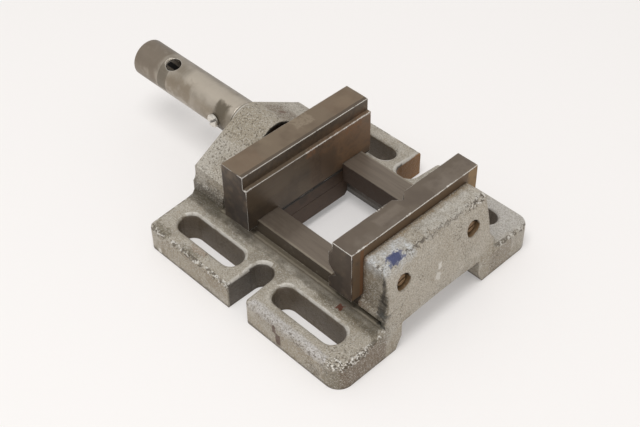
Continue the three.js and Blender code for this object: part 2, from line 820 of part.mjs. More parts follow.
/** Everything that slides with the jaw. */
function slideGroup() {
  const group = new THREE.Group();
  group.add(
    piece('movable_jaw', movableJaw(), jawSteel),
    piece('slide_block', slideBlock(), blackSteel),
    piece('keeper_plate', keeperPlate(), blackSteel),
    piece('spindle_screw', spindle(), brightSteel),
    piece('spindle_pin', spindlePin(), brightSteel),
  );
  for (const [hand, side] of [['left', -1], ['right', 1]]) {
    group.add(
      piece(`keeper_screw_${hand}`, clampScrew(side), blackSteel),
      piece(`keeper_washer_${hand}`, clampWasher(side), blackSteel),
    );
  }
  return group;
}

/** Everything that turns with the handle. One turn moves the jaw by spindleLead. */
function handleGroup() {
  const group = new THREE.Group();
  group.userData.travelPerTurn = spindleLead;
  group.add(
    piece('spindle_nut', spindleNut(), blackSteel),
    piece('handle_sleeve', handleSleeve(), tubeSteel),
    piece('sleeve_screw', sleeveScrew(), brightSteel),
  );
  return group;
}

const group = new THREE.Group();
group.name = 'drill_press_vise';
group.add(bedGroup(), slideGroup(), handleGroup());

export default group;
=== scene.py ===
"""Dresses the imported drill-press vise: its finishes, the spindle's thread, the light and the camera."""

import logging
import math
from dataclasses import dataclass
from enum import Enum
from typing import Any

import bpy
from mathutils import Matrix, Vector


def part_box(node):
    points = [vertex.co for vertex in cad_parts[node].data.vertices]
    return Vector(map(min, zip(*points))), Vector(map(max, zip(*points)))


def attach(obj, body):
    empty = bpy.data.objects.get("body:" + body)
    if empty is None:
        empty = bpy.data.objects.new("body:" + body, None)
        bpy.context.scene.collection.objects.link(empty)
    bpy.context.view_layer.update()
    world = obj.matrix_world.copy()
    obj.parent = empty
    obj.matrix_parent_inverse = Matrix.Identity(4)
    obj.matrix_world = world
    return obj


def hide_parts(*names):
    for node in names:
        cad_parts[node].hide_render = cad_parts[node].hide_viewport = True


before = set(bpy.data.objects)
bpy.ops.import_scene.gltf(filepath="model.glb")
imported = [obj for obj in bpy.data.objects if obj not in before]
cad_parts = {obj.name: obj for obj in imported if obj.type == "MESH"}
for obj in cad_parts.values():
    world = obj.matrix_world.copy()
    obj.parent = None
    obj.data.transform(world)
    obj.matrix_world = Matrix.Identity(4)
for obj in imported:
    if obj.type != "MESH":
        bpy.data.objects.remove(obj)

LOG = logging.getLogger("vise")
# metres in a millimetre
MM = 0.001
AXES = ((1, 0, 0), (0, 1, 0), (0, 0, 1))
UP = AXES[2]
# the ways in which a patch's outline wanders: how far, and the size of the wandering, in millimetres
WANDERS = ((0.4, 2.8), (1.6, 1.7), (1.8, 5.5), (2.4, 2.8), (4.5, 2.8), (5.0, 5.5))
# rays that look for an edge or a corner round each point
PROBES = 6
Point = tuple[float, float, float]
Socket = bpy.types.NodeSocket


def linear(colour: str) -> tuple[float, float, float, float]:
    """Turns an sRGB hex colour into the linear colour that a shader takes.

    Args:
        colour: Six hex digits after a hash sign.

    Returns:
        Red, green, blue and an alpha of one.
    """
    parts = [int(colour[i:i + 2], 16) / 255 for i in (1, 3, 5)]
    red, green, blue = (c / 12.92 if c <= 0.04045 else ((c + 0.055) / 1.055) ** 2.4 for c in parts)
    return red, green, blue, 1.0


class Slot(Enum):
    """The material slots."""

    CASTING = "casting"
    JAW_STEEL = "jaw_steel"
    BLACK_STEEL = "black_steel"
    TUBE_STEEL = "tube_steel"
    BRIGHT_STEEL = "bright_steel"


class Body(Enum):
    """The bodies that a piece can ride on."""

    BED = "bed"
    JAW = "jaw"
    HANDLE = "handle"


# ---------------------------------------------------------------- surfaces


@dataclass(frozen=True)
class Coat:
    """One plain finish: what a patch of surface is made of where this coat shows.

    Attributes:
        colour: sRGB hex colour.
        roughness: Microfacet roughness.
        metallic: One for bare metal, zero for paint, rust or dirt.
    """

    colour: str
    roughness: float
    metallic: float = 0.0


@dataclass(frozen=True)
class Patch:
    """A place on a surface: a soft-edged box with a ragged outline, and the coat that shows there.

    Attributes:
        low: Lowest corner, in millimetres.
        high: Highest corner, in millimetres.
        coat: What shows there, or nothing where the patch only marks a place.
        soft: Width over which the patch fades out, in millimetres.
        ragged: How far its outline wanders, in millimetres.
        grain: Size of the wandering, in millimetres.
        amount: How fully it covers, from zero to one.
        twin: Whether the same place on the other side, across Y, has it too.
    """

    low: Point
    high: Point
    coat: Coat | None = None
    soft: float = 3.0
    ragged: float = 3.0
    grain: float = 4.0
    amount: float = 1.0
    twin: bool = False


class Surface:
    """A material in the making: coats laid over each other by masks, with relief in millimetres."""

    def __init__(self, name: str, base: Coat) -> None:
        """Starts a material as one even coat.

        Args:
            name: Name of the material.
            base: Its lowest coat.
        """
        self.material = bpy.data.materials.new(name)
        self.material.use_nodes = True
        self.tree = self.material.node_tree
        self.tree.nodes.clear()
        where = self.add("ShaderNodeTexCoord").outputs["Object"]
        scaled = self.add("ShaderNodeVectorMath", {"operation": "SCALE", "Scale": 1 / MM}, {0: where})
        self.place = scaled.outputs[0]
        axes = self.add("ShaderNodeSeparateXYZ", links={0: self.place})
        # the place with its two sides folded into one across Y
        side = self.add("ShaderNodeMath", {"operation": "ABSOLUTE"}, {0: axes.outputs[1]})
        self.folded = self.add("ShaderNodeCombineXYZ", links={
            0: axes.outputs[0], 1: side.outputs[0], 2: axes.outputs[2]}).outputs[0]
        self.wanders: dict[tuple[tuple[float, float], bool], Socket] = {}
        self.turns: dict[float, Socket] = {}
        colour = self.add("ShaderNodeRGB")
        colour.outputs[0].default_value = linear(base.colour)
        self.colour: Socket = colour.outputs[0]
        self.roughness = self.constant(base.roughness)
        self.metallic = self.constant(base.metallic)
        self.height: Socket | None = None

    def add(self, kind: str, settings: dict[Any, Any] | None = None,
            links: dict[Any, Socket] | None = None) -> bpy.types.Node:
        """Adds a node.

        Args:
            kind: Type of the node.
            settings: Attributes by name, and input values by name or number.
            links: What feeds each input, by name or number.

        Returns:
            The new node.
        """
        node = self.tree.nodes.new(kind)
        for key, value in (settings or {}).items():
            if isinstance(key, str) and hasattr(node, key):
                setattr(node, key, value)
            else:
                node.inputs[key].default_value = value
        for key, source in (links or {}).items():
            self.tree.links.new(source, node.inputs[key])
        return node

    def constant(self, value: float) -> Socket:
        """Makes a source of one number.

        Args:
            value: The number.

        Returns:
            The socket that gives it.
        """
        node = self.add("ShaderNodeValue")
        node.outputs[0].default_value = value
        return node.outputs[0]

    def ramp(self, source: Socket, low: float, high: float, start: float = 0.0,
             end: float = 1.0) -> Socket:
        """Maps a value smoothly from one range to another.

        Args:
            source: The value.
            low: Value that gives start.
            high: Value that gives end.
            start: Result at low.
            end: Result at high.

        Returns:
            The mapped value, clamped to the range.
        """
        # a smooth step keeps within its range by itself, so the node's own clamp is only a burden
        settings = {"interpolation_type": "SMOOTHSTEP", "clamp": False, 1: low, 2: high, 3: start, 4: end}
        return self.add("ShaderNodeMapRange", settings, {0: source}).outputs[0]

    def both(self, *masks: Socket) -> Socket:
        """Multiplies masks together.

        Args:
            masks: One mask or more.

        Returns:
            The mask of what lies in all of them.
        """
        result = masks[0]
        for mask in masks[1:]:
            result = self.add("ShaderNodeMath", {"operation": "MULTIPLY"}, {0: result, 1: mask}).outputs[0]
        return result

    def either(self, *masks: Socket) -> Socket:
        """Takes the largest of masks.

        Args:
            masks: One mask or more.

        Returns:
            The mask of what lies in any of them.
        """
        result = masks[0]
        for mask in masks[1:]:
            result = self.add("ShaderNodeMath", {"operation": "MAXIMUM"}, {0: result, 1: mask}).outputs[0]
        return result

    def outside(self, mask: Socket) -> Socket:
        """Turns a mask inside out."""
        return self.add("ShaderNodeMath", {"operation": "SUBTRACT", 0: 1.0}, {1: mask}).outputs[0]

    def stretched(self, stretch: Point, shift: float) -> Socket:
        """Stretches the place along the axes and shifts it.

        Args:
            stretch: Frequency along each axis, one for no stretch.
            shift: Offset that makes one pattern differ from another.

        Returns:
            A pattern's coordinates, in millimetres.
        """
        if stretch == (1, 1, 1) and not shift:
            return self.place
        settings = {"operation": "MULTIPLY_ADD", 1: stretch, 2: (shift, shift * 1.7, shift * 0.6)}
        return self.add("ShaderNodeVectorMath", settings, {0: self.place}).outputs[0]

    def mottle(self, size: float, low: float, high: float, detail: float = 3.0,
               stretch: Point = (1, 1, 1), shift: float = 0.0) -> Socket:
        """A mask of irregular clouds.

        Args:
            size: Size of the clouds, in millimetres.
            low: Noise level at which the mask begins.
            high: Noise level at which it is full.
            detail: Octaves of finer noise.
            stretch: Frequency along each axis, one for no stretch.
            shift: Offset that makes one pattern differ from another.

        Returns:
            The mask.
        """
        noise = self.add("ShaderNodeTexNoise", {"Scale": 1 / size, "Detail": detail},
                         {"Vector": self.stretched(stretch, shift)})
        return self.ramp(noise.outputs[0], low, high)

    def wandered(self, ragged: float, grain: float, twin: bool) -> Socket:
        """The place in millimetres, moved about at random so that a patch's outline wanders.

        Args:
            ragged: How far it is moved, in millimetres.
            grain: Size of the wandering, in millimetres.
            twin: Whether both sides of the middle plane are folded into one.

        Returns:
            The moved place, by the nearest of the known ways of wandering, each made only once.
        """
        place = self.folded if twin else self.place
        if not ragged:
            return place
        # how far an outline wanders shows more than the size of the wandering
        way = min(WANDERS, key=lambda known: abs(known[0] - ragged) + 0.4 * abs(known[1] - grain))
        if (way, twin) not in self.wanders:
            reach, size = way
            noise = self.add("ShaderNodeTexNoise", {"Scale": 1 / size, "Detail": 4.0},
                             {"Vector": self.place})
            parts = self.add("ShaderNodeSeparateColor", links={0: noise.outputs["Color"]}).outputs
            joined = self.add("ShaderNodeCombineXYZ", links={0: parts[0], 1: parts[1], 2: parts[2]})
            centred = self.add("ShaderNodeVectorMath", {"operation": "SUBTRACT", 1: (0.5, 0.5, 0.5)},
                               {0: joined.outputs[0]})
            moved = self.add("ShaderNodeVectorMath", {"operation": "MULTIPLY_ADD", 1: (reach * 2,) * 3},
                             {0: centred.outputs[0], 2: place})
            self.wanders[way, twin] = moved.outputs[0]
        return self.wanders[way, twin]

    def inside(self, patch: Patch) -> Socket:
        """The mask of a patch: one inside its box, fading over its soft width.

        Args:
            patch: The place.

        Returns:
            The mask.
        """
        middle = tuple((a + b) / 2 for a, b in zip(patch.low, patch.high))
        half = tuple((b - a) / 2 for a, b in zip(patch.low, patch.high))
        offset = self.add("ShaderNodeVectorMath", {"operation": "SUBTRACT", 1: middle},
                          {0: self.wandered(patch.ragged, patch.grain, patch.twin)})
        away = self.add("ShaderNodeVectorMath", {"operation": "ABSOLUTE"}, {0: offset.outputs[0]})
        past = self.add("ShaderNodeVectorMath", {"operation": "SUBTRACT", 1: half}, {0: away.outputs[0]})
        most = self.either(*[self.along(past.outputs[0], axis) for axis in AXES])
        return self.ramp(most, -patch.soft / 2, patch.soft / 2, 1.0, 0.0)

    def along(self, vector: Socket, axis: Point) -> Socket:
        """How far a vector reaches along an axis."""
        node = self.add("ShaderNodeVectorMath", {"operation": "DOT_PRODUCT", 1: axis}, {0: vector})
        return node.outputs["Value"]

    def facing(self, axis: Point, low: float = 0.9, high: float = 0.98) -> Socket:
        """A mask of the faces that look along an axis."""
        return self.ramp(self.along(self.add("ShaderNodeTexCoord").outputs["Normal"], axis), low, high)

    def rounded_over(self) -> Socket:
        """A mask of the facets between the level and the upright faces, where edges are rounded over."""
        tilted = self.facing(UP, 0.1, 0.25)
        return self.both(tilted, self.outside(self.facing(UP, 0.95, 0.98)))

    def edges(self, radius: float, low: float = 0.02, high: float = 0.16) -> Socket:
        """A mask of the part's own sharp outer edges.

        Args:
            radius: How far from an edge it reaches, in millimetres.
            low: Turn of the rounded normal at which the mask begins.
            high: Turn at which it is full.

        Returns:
            The mask, nought in inner corners.
        """
        if radius not in self.turns:
            rounded = self.add("ShaderNodeBevel", {"samples": PROBES, "Radius": radius * MM}).outputs[0]
            true = self.add("ShaderNodeNewGeometry").outputs["True Normal"]
            dot = self.add("ShaderNodeVectorMath", {"operation": "DOT_PRODUCT"}, {0: rounded, 1: true})
            open_edge = self.ramp(self.openness(2.0 * radius), 0.75, 0.95)
            self.turns[radius] = self.both(self.outside(dot.outputs["Value"]), open_edge)
        return self.ramp(self.turns[radius], low, high)

    def openness(self, reach: float) -> Socket:
        """How open the surface lies, one where nothing is near it within reach, in millimetres."""
        node = self.add("ShaderNodeAmbientOcclusion", {"samples": PROBES, "Distance": reach * MM})
        return node.outputs["AO"]

    def corners(self, reach: float, low: float = 0.45, high: float = 0.85) -> Socket:
        """A mask of inner corners within reach, in millimetres, where dirt and painted shade are laid."""
        return self.ramp(self.openness(reach), low, high, 1.0, 0.0)

    def lay(self, coat: Coat, mask: Socket, amount: float = 1.0, shine: bool = True) -> None:
        """Lays a coat over what is there.

        Args:
            coat: The coat.
            mask: Where it shows.
            amount: How fully it covers there.
            shine: Whether it brings its own shine. A thin stain only tints what lies under it.
        """
        share = self.add("ShaderNodeMath", {"operation": "MULTIPLY", 1: amount}, {0: mask}).outputs[0]
        tint = self.add("ShaderNodeMix", {"data_type": "RGBA", 7: linear(coat.colour)},
                        {0: share, 6: self.colour})
        self.colour = tint.outputs[2]
        if not shine:
            return
        rough = self.add("ShaderNodeMix", {3: coat.roughness}, {0: share, 2: self.roughness})
        metal = self.add("ShaderNodeMix", {3: coat.metallic}, {0: share, 2: self.metallic})
        self.roughness = rough.outputs[0]
        self.metallic = metal.outputs[0]

    def lay_patches(self, patches: list[Patch], shine: bool = True) -> None:
        """Lays each patch's coat in its place, in order, with its own shine or as a stain."""
        for patch in patches:
            self.lay(patch.coat, self.inside(patch), patch.amount, shine)

    def within(self, places: list[Patch]) -> Socket:
        """The mask of all of a list of places together."""
        return self.either(*[self.inside(place) for place in places])

    def relief(self, mask: Socket, millimetres: float) -> None:
        """Raises or sinks the surface where a mask is full.

        Args:
            mask: Where it is raised.
            millimetres: How high, or how deep if it is negative.
        """
        before = self.height or self.constant(0.0)
        node = self.add("ShaderNodeMath", {"operation": "MULTIPLY_ADD", 1: millimetres},
                        {0: mask, 2: before})
        self.height = node.outputs[0]

    def finish(self, rounding: float) -> bpy.types.Material:
        """Closes the material.

        Args:
            rounding: Radius at which light rolls over the part's edges, in millimetres.

        Returns:
            The material.
        """
        soft = self.add("ShaderNodeBevel", {"samples": PROBES, "Radius": rounding * MM}).outputs[0]
        normal = soft
        if self.height is not None:
            bump = self.add("ShaderNodeBump", {"Strength": 1.0, "Distance": MM},
                            {"Height": self.height, "Normal": soft})
            normal = bump.outputs[0]
        shader = self.add("ShaderNodeBsdfPrincipled", links={
            "Base Color": self.colour, "Roughness": self.roughness,
            "Metallic": self.metallic, "Normal": normal})
        self.add("ShaderNodeOutputMaterial", links={0: shader.outputs[0]})
        return self.material


# ---------------------------------------------------------------- finishes

RUST = Coat("#5E4029", 0.85)
OCHRE = Coat("#8C7450", 0.8)
# dark dirt, and painted shade in inner corners
GRIME_AND_SHADE = Coat("#4B4234", 0.65)
OLIVE_DIRT = Coat("#6B624E", 0.7)
# dark oil, and painted shade in the channel under the rails
OIL_AND_SHADE = Coat("#3A2F25", 0.45, 0.3)
# near black: dark oil stains, and painted shade in gaps and inner corners
SOOT_AND_SHADE = Coat("#2B2620", 0.6)
BRIGHT_CHIP = Coat("#DCD8D0", 0.35, 0.3)
WORN_EDGE = Coat("#F0ECE5", 0.35, 0.3)


@dataclass(frozen=True)
class CastingPlaces:
    """Where each kind of wear and dirt lies on the casting, and where light and shade are painted.

    Attributes:
        ground: The milled and ground places, with painted shade in recesses and a painted reflection on
            the near rail.
        stains: The stained places, and some painted light, under the grain.
        spots: The sharp marks on top of everything, with painted shade among them.
        pitted: Where pits crowd.
        rims: The edges that are rubbed pale all along, with a painted highlight.
        rubbed: The edges with thin dark and bright dashes.
        chipped: The corners with bright chips beside dark pits.
        rails: The milled rails, where no grain or pit stands up.
    """

    ground: list[Patch]
    stains: list[Patch]
    spots: list[Patch]
    pitted: list[Patch]
    rims: list[Patch]
    rubbed: list[Patch]
    chipped: list[Patch]
    rails: Patch


@dataclass(frozen=True)
class SandCastPaint:
    """Sand-cast grey iron under worn silver-grey paint: a sandy skin with pits, stains and a dull sheen.

    The rails, their sides and the running faces are milled and ground to bare iron, which is smooth
    and has gone brown-grey with oil.

    Attributes:
        paint: The paint where it is clean.
        pale: Where it is rubbed pale.
        dark: Where dirt has sunk into it.
        olive: A darker olive tone on the upright sides, partly the paint's own tint and partly painted
            shade.
        pit_dirt: The brown dirt in its pits.
        speck: The light that single grains catch.
        rim: Rims that are rubbed nearly bright, with a painted highlight.
        grain: Size of the sand grain, in millimetres, drawn coarse enough to show.
        pit: Size of a pit, in millimetres.
    """

    paint: Coat = Coat("#AFA799", 0.42, 0.15)
    pale: Coat = Coat("#C5C0B6", 0.4, 0.2)
    dark: Coat = Coat("#887F70", 0.5, 0.1)
    olive: Coat = Coat("#998B73", 0.55)
    pit_dirt: Coat = Coat("#4E4434", 0.65)
    speck: Coat = Coat("#D2CFC8", 0.4, 0.2)
    rim: Coat = Coat("#D0CCC4", 0.35, 0.3)
    grain: float = 0.75
    pit: float = 1.2

    def cast_skin(self) -> Surface:
        """Makes the paint's own mottle, and the darker olive tone of the upright sides, partly painted
        shade.

        Returns:
            The material in the making.
        """
        skin = Surface("worn_painted_sand_casting", self.paint)
        skin.lay(self.pale, skin.mottle(12, 0.47, 0.66, 4), 0.45)
        skin.lay(self.dark, skin.mottle(17, 0.5, 0.68, 5), 0.5)
        # limits the other way round give the faces that don't look up
        upright = skin.facing(UP, 0.7, 0.2)
        # partly painted shade: the faces that don't look up get a darker olive tone
        skin.lay(self.olive, skin.both(upright, skin.mottle(22, 0.36, 0.6, 4)), 0.6)
        runs = skin.mottle(3.5, 0.54, 0.68, 4, stretch=(1, 1, 0.3))
        skin.lay(Coat("#7D6E58", 0.7), skin.both(upright, runs), 0.45)
        skin.lay(OCHRE, skin.mottle(7, 0.6, 0.76, 5), 0.3)
        return skin

    def weather(self, skin: Surface, rough_cast: Socket, pitted: list[Patch]) -> None:
        """Adds the sand grain, the pits, and dirt with painted shade in the inner corners.

        Args:
            skin: The material in the making.
            rough_cast: Mask of what was left as cast.
            pitted: The places where pits crowd.
        """
        fine = skin.mottle(self.grain, 0.43, 0.6, 2)
        light = skin.mottle(self.grain, 0.52, 0.63, 2, shift=57)
        skin.lay(self.dark, fine, 0.6)
        skin.lay(self.speck, light, 0.42)
        crowds = skin.either(skin.mottle(19, 0.54, 0.68, 3), skin.within(pitted))
        pits = skin.mottle(self.pit, 0.57, 0.63, 2)
        skin.lay(self.pit_dirt, skin.both(pits, crowds), 0.6)
        skin.relief(skin.both(fine, rough_cast), -0.1)
        skin.relief(skin.both(skin.mottle(3.5, 0.3, 0.7, 3), rough_cast), 0.16)
        skin.relief(skin.both(pits, rough_cast), -0.12)
        # dirt and painted shade: the inner corners darkened through an occlusion mask
        skin.lay(GRIME_AND_SHADE, skin.both(skin.corners(4.5), skin.mottle(5, 0.28, 0.55, 4)), 0.7)

    def wear(self, skin: Surface, places: CastingPlaces) -> None:
        """Adds pale rims, rubbed and with a painted highlight, and dark dirt and bright chips along the
        outer edges.

        Args:
            skin: The material in the making.
            places: Where each kind of wear lies.
        """
        rounded = skin.rounded_over()
        # rubbed pale, with a painted highlight, along the rims
        skin.lay(self.rim, skin.both(rounded, skin.within(places.rims), skin.mottle(8, 0.3, 0.5, 3)), 0.8)
        dashes = skin.both(rounded, skin.within(places.rubbed))
        skin.lay(GRIME_AND_SHADE, skin.both(dashes, skin.mottle(2.6, 0.44, 0.54, 3)), 0.7)
        skin.lay(BRIGHT_CHIP, skin.both(dashes, skin.mottle(2.2, 0.54, 0.6, 3)), 0.8)
        battered = skin.within(places.chipped)
        skin.lay(GRIME_AND_SHADE, skin.both(battered, skin.mottle(1.6, 0.5, 0.57, 2)), 0.8)
        skin.lay(BRIGHT_CHIP, skin.both(battered, skin.mottle(1.4, 0.54, 0.6, 2, shift=87)), 0.95)

    def build(self, places: CastingPlaces) -> bpy.types.Material:
        """Makes the material.

        Args:
            places: Where each kind of wear and dirt lies, and where light and shade are painted.

        Returns:
            The material.
        """
        skin = self.cast_skin()
        skin.lay_patches(places.stains, shine=False)
        milled = skin.within(places.ground)
        self.weather(skin, skin.outside(skin.inside(places.rails)), places.pitted)
        self.wear(skin, places)
        skin.lay_patches(places.ground)
        # oil drawn out along the rails
        streaks = skin.mottle(1.6, 0.42, 0.68, 3, stretch=(0.06, 1, 1))
        skin.lay(OIL_AND_SHADE, skin.both(milled, streaks), 0.2)
        skin.lay_patches(places.spots, shine=False)
        return skin.finish(0.6)


@dataclass(frozen=True)
class HardenedJaw:
    """Hardened and ground jaw steel, gone brown with oil: a smooth dull sheen, bright worn edges with a
    painted glint, and tops painted paler as painted light.

    Attributes:
        name: Name of the material.
        steel: The face steel.
        top: The paler steel of the top, a lit copy of the steel: painted light.
        top_dark: Where the top is darker.
        top_pale: Where the top is rubbed pale.
    """

    name: str
    steel: Coat = Coat("#665848", 0.42, 0.55)
    top: Coat = Coat("#837462", 0.4, 0.6)
    top_dark: Coat = Coat("#746555", 0.44, 0.6)
    top_pale: Coat = Coat("#93846F", 0.36, 0.6)

    def build(self, stains: list[Patch], bright: list[Patch], nicked: list[Patch]) -> bpy.types.Material:
        """Makes the material.

        Args:
            stains: The stained places, with painted shade among them.
            bright: The edges that are worn bright all along, with a painted glint.
            nicked: The edges with bright nicks.

        Returns:
            The material.
        """
        skin = Surface(self.name, self.steel)
        skin.lay(Coat("#453D36", 0.45, 0.5), skin.mottle(18, 0.44, 0.7, 3, shift=5), 0.5)
        skin.lay(Coat("#63503E", 0.5, 0.4), skin.mottle(13, 0.52, 0.74, 3, shift=9), 0.4)
        # grinding lines along the jaw, drawn coarser than real ones so that they show
        grind = skin.mottle(0.9, 0.45, 0.7, 2, stretch=(1, 0.04, 1), shift=19)
        skin.lay(Coat("#6C6054", 0.36, 0.6), grind, 0.16)
        # painted light: the faces that look up get a paler copy of the steel
        up = skin.facing(UP)
        skin.lay(self.top, up)
        skin.lay(self.top_dark, skin.both(up, skin.mottle(13, 0.42, 0.7, 2, shift=15)), 0.7)
        skin.lay(self.top_pale, skin.both(up, skin.mottle(17, 0.5, 0.74, 3, shift=45)), 0.5)
        skin.relief(grind, -0.01)
        skin.lay_patches(stains)
        patchy = skin.edges(0.5, 0.02, 0.12)
        skin.lay(WORN_EDGE, skin.both(patchy, skin.mottle(9, 0.4, 0.56, 3, shift=27)), 0.6)
        # worn bright, with a painted glint, along the listed edges
        skin.lay(WORN_EDGE, skin.both(skin.edges(0.9, 0.01, 0.05), skin.within(bright),
                                      skin.mottle(6, 0.3, 0.42, 3, shift=33)), 0.85)
        skin.lay(WORN_EDGE, skin.both(skin.edges(1.5, 0.004, 0.02), skin.within(nicked),
                                      skin.mottle(1.6, 0.47, 0.54, 2, shift=49)), 0.95)
        return skin.finish(0.3)


@dataclass(frozen=True)
class OiledSteel:
    """Plain machined steel, black with old oil.

    Attributes:
        name: Name of the material.
        steel: The steel under the oil.
        oil: The oil and dirt on it.
        edge: How bright its edges are worn.
    """

    name: str = "oiled_machined_steel"
    steel: Coat = Coat("#4E3B2C", 0.48, 0.4)
    oil: Coat = Coat("#35271A", 0.5, 0.3)
    edge: float = 0.0

    def build(self, stains: list[Patch] | None = None) -> bpy.types.Material:
        """Makes the material.

        Args:
            stains: The stained places, with painted shade among them.

        Returns:
            The material.
        """
        skin = Surface(self.name, self.steel)
        skin.lay(self.oil, skin.mottle(10, 0.42, 0.62, 4, shift=3), 0.55)
        skin.lay_patches(stains or [])
        # machining lines, drawn coarser than real ones so that they show
        lines = skin.mottle(0.8, 0.45, 0.65, 2, stretch=(0.1, 1, 1), shift=17)
        skin.relief(lines, -0.02)
        if self.edge:
            skin.lay(Coat("#B9B4AA", 0.35, 1.0), skin.edges(0.4), self.edge)
        return skin.finish(0.3)


@dataclass(frozen=True)
class TurnedTube:
    """Steel tube, turned and then dulled by handling, with brown smudges and round tool marks.

    Attributes:
        steel: The dull steel.
        pale: Where it is rubbed bright.
        smudge: Where hands have left it brown.
    """

    steel: Coat = Coat("#A59C8F", 0.38, 0.8)
    pale: Coat = Coat("#BEB5A8", 0.34, 0.8)
    smudge: Coat = Coat("#857A6A", 0.42, 0.7)

    def build(self, stains: list[Patch]) -> bpy.types.Material:
        """Makes the material.

        Args:
            stains: The smudged places, with a painted highlight and painted shade among them.

        Returns:
            The material.
        """
        skin = Surface("dulled_turned_steel_tube", self.steel)
        skin.lay(self.pale, skin.mottle(9, 0.46, 0.68, 3, stretch=(0.45, 1, 1), shift=8), 0.6)
        skin.lay(self.smudge, skin.mottle(7, 0.48, 0.68, 5, stretch=(0.7, 1, 1), shift=2), 0.5)
        # rings left by the lathe tool, drawn coarser than its feed so that they show
        rings = skin.mottle(0.9, 0.5, 0.66, 2, stretch=(1.2, 0.03, 0.03), shift=14)
        skin.lay(Coat("#BDB6A8", 0.32, 0.6), rings, 0.25)
        skin.relief(rings, 0.015)
        skin.lay_patches(stains)
        skin.lay(WORN_EDGE, skin.edges(0.7, 0.02, 0.1), 0.6)
        return skin.finish(0.6)


@dataclass(frozen=True)
class BrightSteel:
    """Bright turned or rolled steel, for the screw, the washers and the pin.

    Attributes:
        name: Name of the material.
        steel: The steel.
        dirt: What has settled on it.
        share: How much of the dirt shows.
    """

    name: str
    steel: Coat = Coat("#DCD7CE", 0.3, 0.8)
    dirt: Coat = Coat("#6A5D4A", 0.6, 0.3)
    share: float = 0.25

    def build(self) -> bpy.types.Material:
        """Makes the material.

        Returns:
            The material.
        """
        skin = Surface(self.name, self.steel)
        skin.lay(self.dirt, skin.mottle(2.5, 0.45, 0.7, 4, shift=4), self.share)
        # painted shade: the inner corners round heads, washers and the pin darkened nearly black
        skin.lay(SOOT_AND_SHADE, skin.corners(1.4, 0.5, 0.9), 0.85)
        return skin.finish(0.25)


# ---------------------------------------------------------------- sub-assemblies


def dress(node: str, material: bpy.types.Material) -> None:
    """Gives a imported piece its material.

    Args:
        node: Name of the piece.
        material: The material for every slot it has.
    """
    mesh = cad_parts[node].data
    if not mesh.materials:
        mesh.materials.append(material)
    for index in range(len(mesh.materials)):
        mesh.materials[index] = material
    LOG.info("dressed %s in %s", node, material.name)


def millimetre_box(node: str) -> tuple[Point, Point]:
    """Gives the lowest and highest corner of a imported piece, in millimetres."""
    low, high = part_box(node)
    return tuple(c / MM for c in low), tuple(c / MM for c in high)


